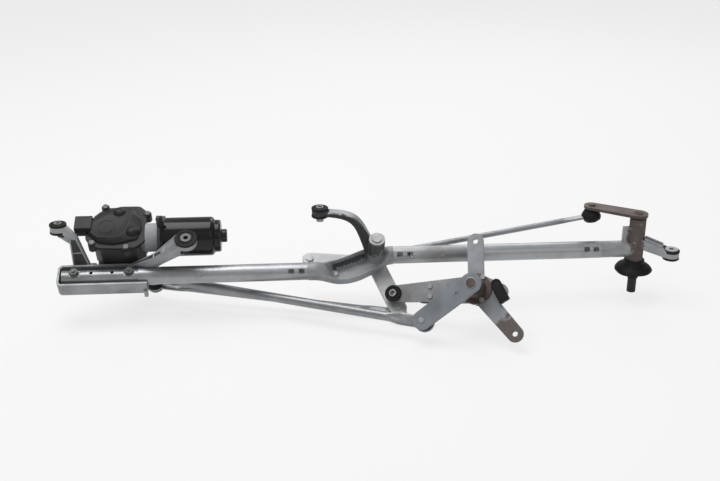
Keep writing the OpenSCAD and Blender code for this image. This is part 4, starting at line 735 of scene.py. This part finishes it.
def gear_cover_shell():
    """Moulded cover: the outlines of its flange, wall and raised plate, stacked along the frame's normal,
    with two domes, a faint ring, four screw ears and the connector block."""
    edge = [(-760, 14), (-752, 2), (-740, -4), (-715, -5.5), (-691, -4), (-679.5, 7), (-679, 30),
            (-679.5, 60), (-690, 70.5), (-716, 71), (-744, 62), (-760, 42)]
    wall = [(-757.5, 22), (-751, 13.5), (-741, 4), (-722, 1.5), (-711.5, 3), (-690, 10), (-685, 28),
            (-688, 46), (-697, 62), (-718, 66), (-741, 58), (-757, 40)]
    plate = [(-755.5, 27), (-751, 18.5), (-744, 12), (-727, 11), (-712, 12), (-706, 22), (-702, 38),
             (-698, 52), (-705, 60), (-721, 61), (-742, 48), (-756, 37)]
    edge = round_corners(edge, 3.5)
    wall = round_corners(wall, 3.2)
    plate = round_corners(plate, 2.2)
    middle = plate.mean(axis=0)
    levels = [(edge, COVER_BASE), (edge, 35.7), (edge + (middle - edge) * 0.02, 36.4),
              (wall + (edge - wall) * 0.2, 36.5), (wall, 36.9), (wall, 38.7),
              (wall + (plate - wall) * 0.12, 39.6), (wall + (plate - wall) * 0.80, 41.2),
              (wall + (plate - wall) * 0.94, 41.8), (plate, 42.0), (plate + (middle - plate) * 0.06, 42.0),
              (plate + (middle - plate) * 0.09, 41.6)]
    stack = np.stack([np.column_stack([outline, np.full(len(outline), n)]) for outline, n in levels])
    parts = [skin(from_frame(stack))]
    parts.append(dome(from_frame((-697.5, 21.5, 36.6)), SQUARE, 10.5, 8.2))
    parts.append(dome(from_frame((-716.5, 56.0, 37.5)), SQUARE, 10.0, 7.8))
    ring = round_corners([(9.6, -0.6), (11.6, -0.6), (11.6, 0.5), (9.6, 0.5)], 0.35)
    parts.append(lathe(ring, from_frame((-732.0, 31.0, 41.6)), SQUARE))
    ear = round_corners([(0.02, 0.0), (5.5, 0.0), (5.5, 2.95), (0.02, 2.95)], [0.01, 0.5, 0.6, 0.01])
    for u, v in ((-750.0, 5.0), (-704.0, -4.0), (-679.0, 55.0), (-737.0, 69.0)):
        parts.append(lathe(ear, from_frame((u, v, COVER_BASE)), SQUARE, 40))
    parts.append(connector_block())
    piece("gear_cover_shell", parts, PLASTIC, "frame", ("gear_cover",))


def connector_block():
    """Plug socket: a round-cornered box carried along the tubes, with an open mouth that goes 15 mm deep."""
    box = round_corners([(-12, -8), (12, -8), (12, 8), (-12, 8)], 2.0)
    hole = round_corners([(-10, -6), (10, -6), (10, 6), (-10, 6)], 1.0)
    small = round_corners([(-11.2, -7.2), (11.2, -7.2), (11.2, 7.2), (-11.2, 7.2)], 2.0)
    rings = [(-760.0, hole * 0.98), (-774.6, hole), (-775.0, hole * 1.03), (-775.0, small), (-774.2, box),
             (-752.0, box)]
    grid = np.stack([np.column_stack([np.full(len(p), u), PLUG_V + p[:, 0], PLUG_N + p[:, 1]])
                     for u, p in rings])
    return skin(from_frame(grid))


gear_cover_shell()


# Centre casting

SOCKET_RADIUS = 12.6
CHANNEL_HALF = 14.0
ARM_STEPS = 44
HALF_POINTS = 48


def through(x, at, values):
    """Smooth curve through the given values: cubic pieces whose slopes are the local differences."""
    at, values = np.asarray(at, float), np.asarray(values, float)
    slope = np.gradient(values, at)
    k = np.clip(np.searchsorted(at, x) - 1, 0, len(at) - 2)
    wide = at[k + 1] - at[k]
    t = (x - at[k]) / wide
    return ((1 + 2 * t) * (1 - t) ** 2 * values[k] + t * (1 - t) ** 2 * wide * slope[k]
            + t * t * (3 - 2 * t) * values[k + 1] - t * t * (1 - t) * wide * slope[k + 1])


def centre_body():
    """Middle casting: a tube's circle that opens into a channel between a front and a back edge, and closes
    again at the other tube, with the bell crank's boss, and a tapering arm along a cubic curve that bends
    over to the mount's eye."""
    turn = np.linspace(-math.pi / 2, math.pi / 2, HALF_POINTS)
    right = SOCKET_RADIUS * np.stack([np.cos(turn), np.sin(turn)], axis=1)
    back = evenly([(0, -14), (11.4, -14), (13.4, -13.2), (14, -11.2), (14, 4.4), (13.7, 5.6), (13.0, 6.0),
                   (12.4, 5.4), (12.0, 2.0), (11.4, -6.4), (10.2, -8.8), (7.5, -9.2), (3.5, -8.2), (0, -7.2)],
                  HALF_POINTS)
    front = evenly([(0, -14), (-11.4, -14), (-13.4, -13.2), (-14, -11.2), (-14, -3.4), (-13.6, -2.0),
                    (-12.9, -1.6), (-12.2, -2.2), (-11.7, -4.2), (-10.6, -5.4), (-5.5, -6.2), (0, -7.2)],
                   HALF_POINTS)
    circle = np.concatenate([right, (right * [-1, 1])[-2:0:-1]])
    channel = np.concatenate([back, front[-2:0:-1]])
    u = np.linspace(-460.9, -343.1, 110)
    knots = [-461, -440, -425, -408, -390, -375, -358, -343]
    rear_edge = through(u, knots, [-11.4, -11.5, -10.0, -3.5, 5.0, 10.5, 13.0, 12.6])
    near_edge = through(u, knots, [-36.6, -37.5, -38.5, -38.5, -33.5, -25.5, -15.5, -12.6])
    path = np.stack([u, (rear_edge + near_edge) / 2, np.zeros_like(u)], axis=1)
    wide = ((rear_edge - near_edge) / 2 / SOCKET_RADIUS)[:, None, None]
    open_left = np.clip((u + 452.0) / 34.0, 0.0, 1.0)
    open_right = np.clip((-347.0 - u) / 20.0, 0.0, 1.0)
    share = (open_left ** 2 * (3 - 2 * open_left) * open_right ** 2 * (3 - 2 * open_right))[:, None, None]
    profile = circle + (channel * [SOCKET_RADIUS / CHANNEL_HALF, 1.0] - circle) * share
    profile = profile * np.concatenate([wide, np.ones_like(wide)], axis=2)
    grid = path[:, None] + np.concatenate([np.zeros_like(profile[..., :1]), profile], axis=2)
    parts = [skin(from_frame(grid))]
    boss = round_corners([(9.56, -13.9), (14.5, -13.9), (13.6, -6.0), (11.3, 1.0), (11.3, 30.0),
                          (9.56, 30.0)], [0.2, 0.6, 2.5, 3.0, 1.0, 0.3])
    parts.append(lathe(boss, from_frame((BELL_U, BELL_V, 0.0)), SQUARE))
    arm = bezier((-373.0, 7.0, 4.0), (-392.0, 19.0, 52.0), (-392.0, 22.0, 62.0), (-433.5, 31.0, 56.6),
                 ARM_STEPS)
    t = np.linspace(0.0, 1.0, ARM_STEPS)[:, None, None]
    base = round_corners([(-1, -1), (1, -1), (1, 1), (-1, 1)], [0.4, 0.4, 0.25, 0.25])[None]
    width = 7.4 - 0.6 * t
    depth = 8.5 - 5.4 * t ** 0.6
    points, faces = carry(arm, (0.25, 0.2, 0.95), base * np.concatenate([width, depth], axis=2))
    parts.append((from_frame(points), faces))
    eye = round_corners([(8.05, -3.4), (11.0, -3.4), (11.0, 3.4), (8.05, 3.4)], 0.6)
    parts.append(lathe(eye, middle_of("centre_grommet"), UPRIGHT))
    mark = round_corners([(0.02, -4.0), (4.2, -4.0), (4.2, 0.6), (3.2, 0.6), (2.8, 0.1), (0.02, 0.1)],
                         [0.01, 0.3, 0.3, 0.3, 0.2, 0.01])
    parts.append(lathe(mark, from_frame((-424.0, -26.0, -4.6)), SQUARE, 40))
    piece("centre_casting_body", parts, CENTRE, "frame", ("centre_casting",), 40.0)


centre_body()


# Ribs of the mount arms, ball boot and swing seal

def rail(points, radius):
    """Round-topped rib: a rounded rectangle carried along a straight or bent line."""
    profile = round_corners([(-1, -1.2), (1, -1.2), (1, 0.7), (-1, 0.7)], [0.2, 0.2, 0.6, 0.6]) * radius
    return carry(evenly(points, 12), UPRIGHT, profile)


def strip(a, b, c, d, lift):
    """Thin plate over the four corners a, b, c, d, raised by lift: the floor of the pockets between ribs."""
    corners = np.array([a, b, c, d], float)
    up = np.cross(corners[1] - corners[0], corners[3] - corners[0])
    up *= np.sign(up[2]) / np.linalg.norm(up)
    outline = round_corners(corners, 1.0)
    return skin(np.stack([outline + up * (lift - 0.5), outline + up * lift]))


def ribbed(name, near, far, crossings, rail_r, place):
    """Rails along the near and far edge of an arm, cross ribs between them, each at a share of one stretch of
    the edges, and a dark floor in between that paints the shade of the pockets. place turns the points into
    world points."""
    near = np.asarray(near, float)
    far = np.asarray(far, float)
    ends = [(near[i] + (near[i + 1] - near[i]) * f, far[i] + (far[i + 1] - far[i]) * f) for i, f in crossings]
    ribs = [rail(line, rail_r) for line in (near, far)] + [rail(pair, rail_r * 0.9) for pair in ends]
    piece(name + "_ribs", [(place(p), f) for p, f in ribs], CAST, "frame")
    # Dark floors that paint the pockets' shade
    shade_floors = [strip(near[i], far[i], far[i + 1], near[i + 1], 0.35) for i in range(len(near) - 1)]
    piece(name + "_pocket_shade", [(place(p), f) for p, f in shade_floors], CAST_IN_SHADE, "frame")


def mount_arms():
    """Ribs and pockets of the three cast arms that carry the motor, left and right mounts."""
    ribbed("motor_arm", [(-703, -10.9, 5), (-667, -21.8, 34.3), (-634, -22.5, 60.2)],
           [(-700, -6.9, 5), (-666, -14.2, 34.3), (-634.5, -4.0, 60.2)], [(1, 0.0), (1, 0.45)], 1.1,
           from_frame)
    ribbed("left_arm", [(-777.5, -6.2, 4), (-779.2, 9.9, 39)], [(-757.5, -6.2, 4), (-770.8, 9.9, 39)],
           [(0, 0.5)], 1.1, from_frame)
    way = np.array([0.9205, -0.3907, 0.0])
    side = np.array([0.3907, 0.9205, 0.0])
    top = way * 11.8 + [0, 0, 83.4]
    low = way * 36.6 + [0, 0, 75.5]
    ribbed("right_arm", [top - side * 4.2, low - side * 5.0], [top + side * 4.2, low + side * 5.0], [], 2.3,
           np.asarray)


def ball_boot():
    """Rubber boot over the link rod's eye under the right lever: a bulging cone of revolution."""
    low, high = (np.array(corner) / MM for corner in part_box("link_rod_stud"))
    place = ((low[0] + high[0]) / 2, (low[1] + high[1]) / 2, high[2])
    outline = [(9.2, -14.6), (12.2, -14.6), (13.7, -12.8), (13.7, -8.6), (11.8, -5.0), (9.4, -0.3),
               (6.2, -0.3), (6.2, -5.0), (9.2, -9.0)]
    profile = round_corners(outline, [0.4, 0.8, 1.2, 1.6, 1.6, 0.7, 0.3, 0.5, 0.5])
    piece("link_boot", [lathe(profile, place, UPRIGHT, 48)], RUBBER, "link_rod")


def swing_rubber():
    """Seal under the swing bearing and the pad beside it: a ring of revolution, and a soft-edged block whose
    outlines shrink towards the top."""
    ring = round_corners([(6.95, -60.0), (16.5, -60.0), (16.5, -48.1), (14.1, -48.1), (14.1, -56.1),
                          (6.95, -56.1)], [0.3, 1.6, 1.2, 0.4, 0.4, 0.3])
    parts = [lathe(ring, SWING_HEAD, SWING_AXIS)]
    base = np.array([(18.8, -35.8), (33.2, -35.0), (33.4, -6.0), (29.0, -2.2), (22.5, -3.5), (19.0, -11.0)])
    middle = base.mean(axis=0)
    levels = [(1.0, -30.95), (1.0, -25.0), (0.985, -23.2), (0.93, -22.2), (0.80, -22.0), (0.74, -22.8)]
    outline = round_corners(base, 2.0)
    stack = np.stack([np.column_stack([middle + (outline - middle) * k, np.full(len(outline), z)])
                      for k, z in levels])
    parts.append(skin(from_swing(stack)))
    piece("swing_rubber", parts, RUBBER, "swing_bracket", ("swing_seal",))


mount_arms()
ball_boot()
swing_rubber()


# Bright collar around the swing spindle's rusty head
collar = round_corners([(6.55, 0.02), (7.8, 0.02), (7.8, 0.7), (6.55, 0.7)], [0.1, 0.2, 0.3, 0.2])
piece("swing_head_collar", [lathe(collar, SWING_HEAD, SWING_AXIS)], PLATED, "swing_lever")


# Stage, light and camera

FLOOR = -0.0092
FLOOR_MIDDLE = -0.4
FLOOR_REACH = 45.0
FLOOR_LINES = 9
FLOOR_WHITE = 0.75
WORLD_LIGHT = 0.38


def make_floor():
    """Pale floor: a flat grid at the table's height, seen nearly white and still taking the shadow."""
    span = np.linspace(-FLOOR_REACH, FLOOR_REACH, FLOOR_LINES)
    x, y = np.meshgrid(span, span, indexing="ij")
    points = np.stack([x + FLOOR_MIDDLE, y, np.full_like(x, FLOOR)], axis=-1).reshape(-1, 3)
    i = np.arange(FLOOR_LINES - 1)
    a = (i[:, None] * FLOOR_LINES + i[None, :]).reshape(-1)
    faces = np.stack([a, a + FLOOR_LINES, a + FLOOR_LINES + 1, a + 1], axis=1)
    mesh = bpy.data.meshes.new("floor")
    mesh.from_pydata(points.tolist(), [], faces.tolist())
    floor = bpy.data.objects.new("floor", mesh)
    scene.collection.objects.link(floor)
    mat = bpy.data.materials.new("pale_floor")
    mat.use_nodes = True
    tree = mat.node_tree
    shader = tree.nodes["Principled BSDF"]
    shader.inputs["Base Color"].default_value = (0.66, 0.66, 0.66, 1)
    shader.inputs["Roughness"].default_value = 0.9
    shader.inputs["Specular IOR Level"].default_value = 0.1
    rays = tree.nodes.new("ShaderNodeLightPath")
    direct = times(tree, rays.outputs["Is Camera Ray"], rays.outputs["Is Glossy Ray"], "MAXIMUM")
    seen = times(tree, direct, rays.outputs["Is Transmission Ray"], "MAXIMUM")
    white = tree.nodes.new("ShaderNodeEmission")
    white.inputs["Strength"].default_value = 1.0
    white.inputs["Color"].default_value = (1, 1, 1, 1)
    mix = tree.nodes.new("ShaderNodeMixShader")
    link(tree, times(tree, seen, FLOOR_WHITE), mix.inputs[0])
    link(tree, shader.outputs[0], mix.inputs[1])
    link(tree, white.outputs[0], mix.inputs[2])
    link(tree, mix.outputs[0], tree.nodes["Material Output"].inputs["Surface"])
    mesh.materials.append(mat)


def make_world():
    """Even, dim white surroundings."""
    world = bpy.data.worlds.new("studio")
    scene.world = world
    world.use_nodes = True
    back = world.node_tree.nodes["Background"]
    back.inputs["Color"].default_value = (1, 1, 1, 1)
    back.inputs["Strength"].default_value = WORLD_LIGHT


def soft_box(name, place, target, size, power):
    """A square area lamp at place that faces target."""
    lamp = bpy.data.lights.new(name, "AREA")
    lamp.shape = "SQUARE"
    lamp.size = size
    lamp.energy = power
    obj = bpy.data.objects.new(name, lamp)
    scene.collection.objects.link(obj)
    back = np.array(place, float) - np.array(target, float)
    back /= np.linalg.norm(back)
    side = np.cross(UPRIGHT, back)
    side /= np.linalg.norm(side)
    up = np.cross(back, side)
    turn = np.eye(4)
    turn[:3, 0], turn[:3, 1], turn[:3, 2], turn[:3, 3] = side, up, back, place
    obj.matrix_world = Matrix(turn.tolist())


def make_camera():
    """Camera at the photograph's angle: 23 degrees above the table, a 55 mm lens on a 36 mm wide picture."""
    cam = bpy.data.cameras.new("camera")
    cam.lens = 55.0
    cam.sensor_width = 36.0
    cam.sensor_fit = "HORIZONTAL"
    cam.clip_end = 50.0
    obj = bpy.data.objects.new("camera", cam)
    scene.collection.objects.link(obj)
    turn = np.eye(4)
    turn[:3, 0] = (0.99756, -0.06976, 0.0)
    turn[:3, 1] = (0.02726, 0.38979, 0.92050)
    turn[:3, 2] = (-0.06421, -0.91825, 0.39073)
    turn[:3, 3] = (-0.4857, -1.3906, 0.6811)
    obj.matrix_world = Matrix(turn.tolist())
    scene.camera = obj


make_floor()
make_world()
soft_box("key", (-0.9, 0.15, 1.7), (-0.4, 0.0, 0.05), 1.3, 24)
soft_box("fill", (0.2, -1.5, 1.1), (-0.3, 0.0, 0.05), 1.2, 3)
soft_box("back", (0.1, 1.4, 1.2), (-0.4, 0.0, 0.05), 1.0, 8)
make_camera()
scene.view_settings.view_transform = "Standard"
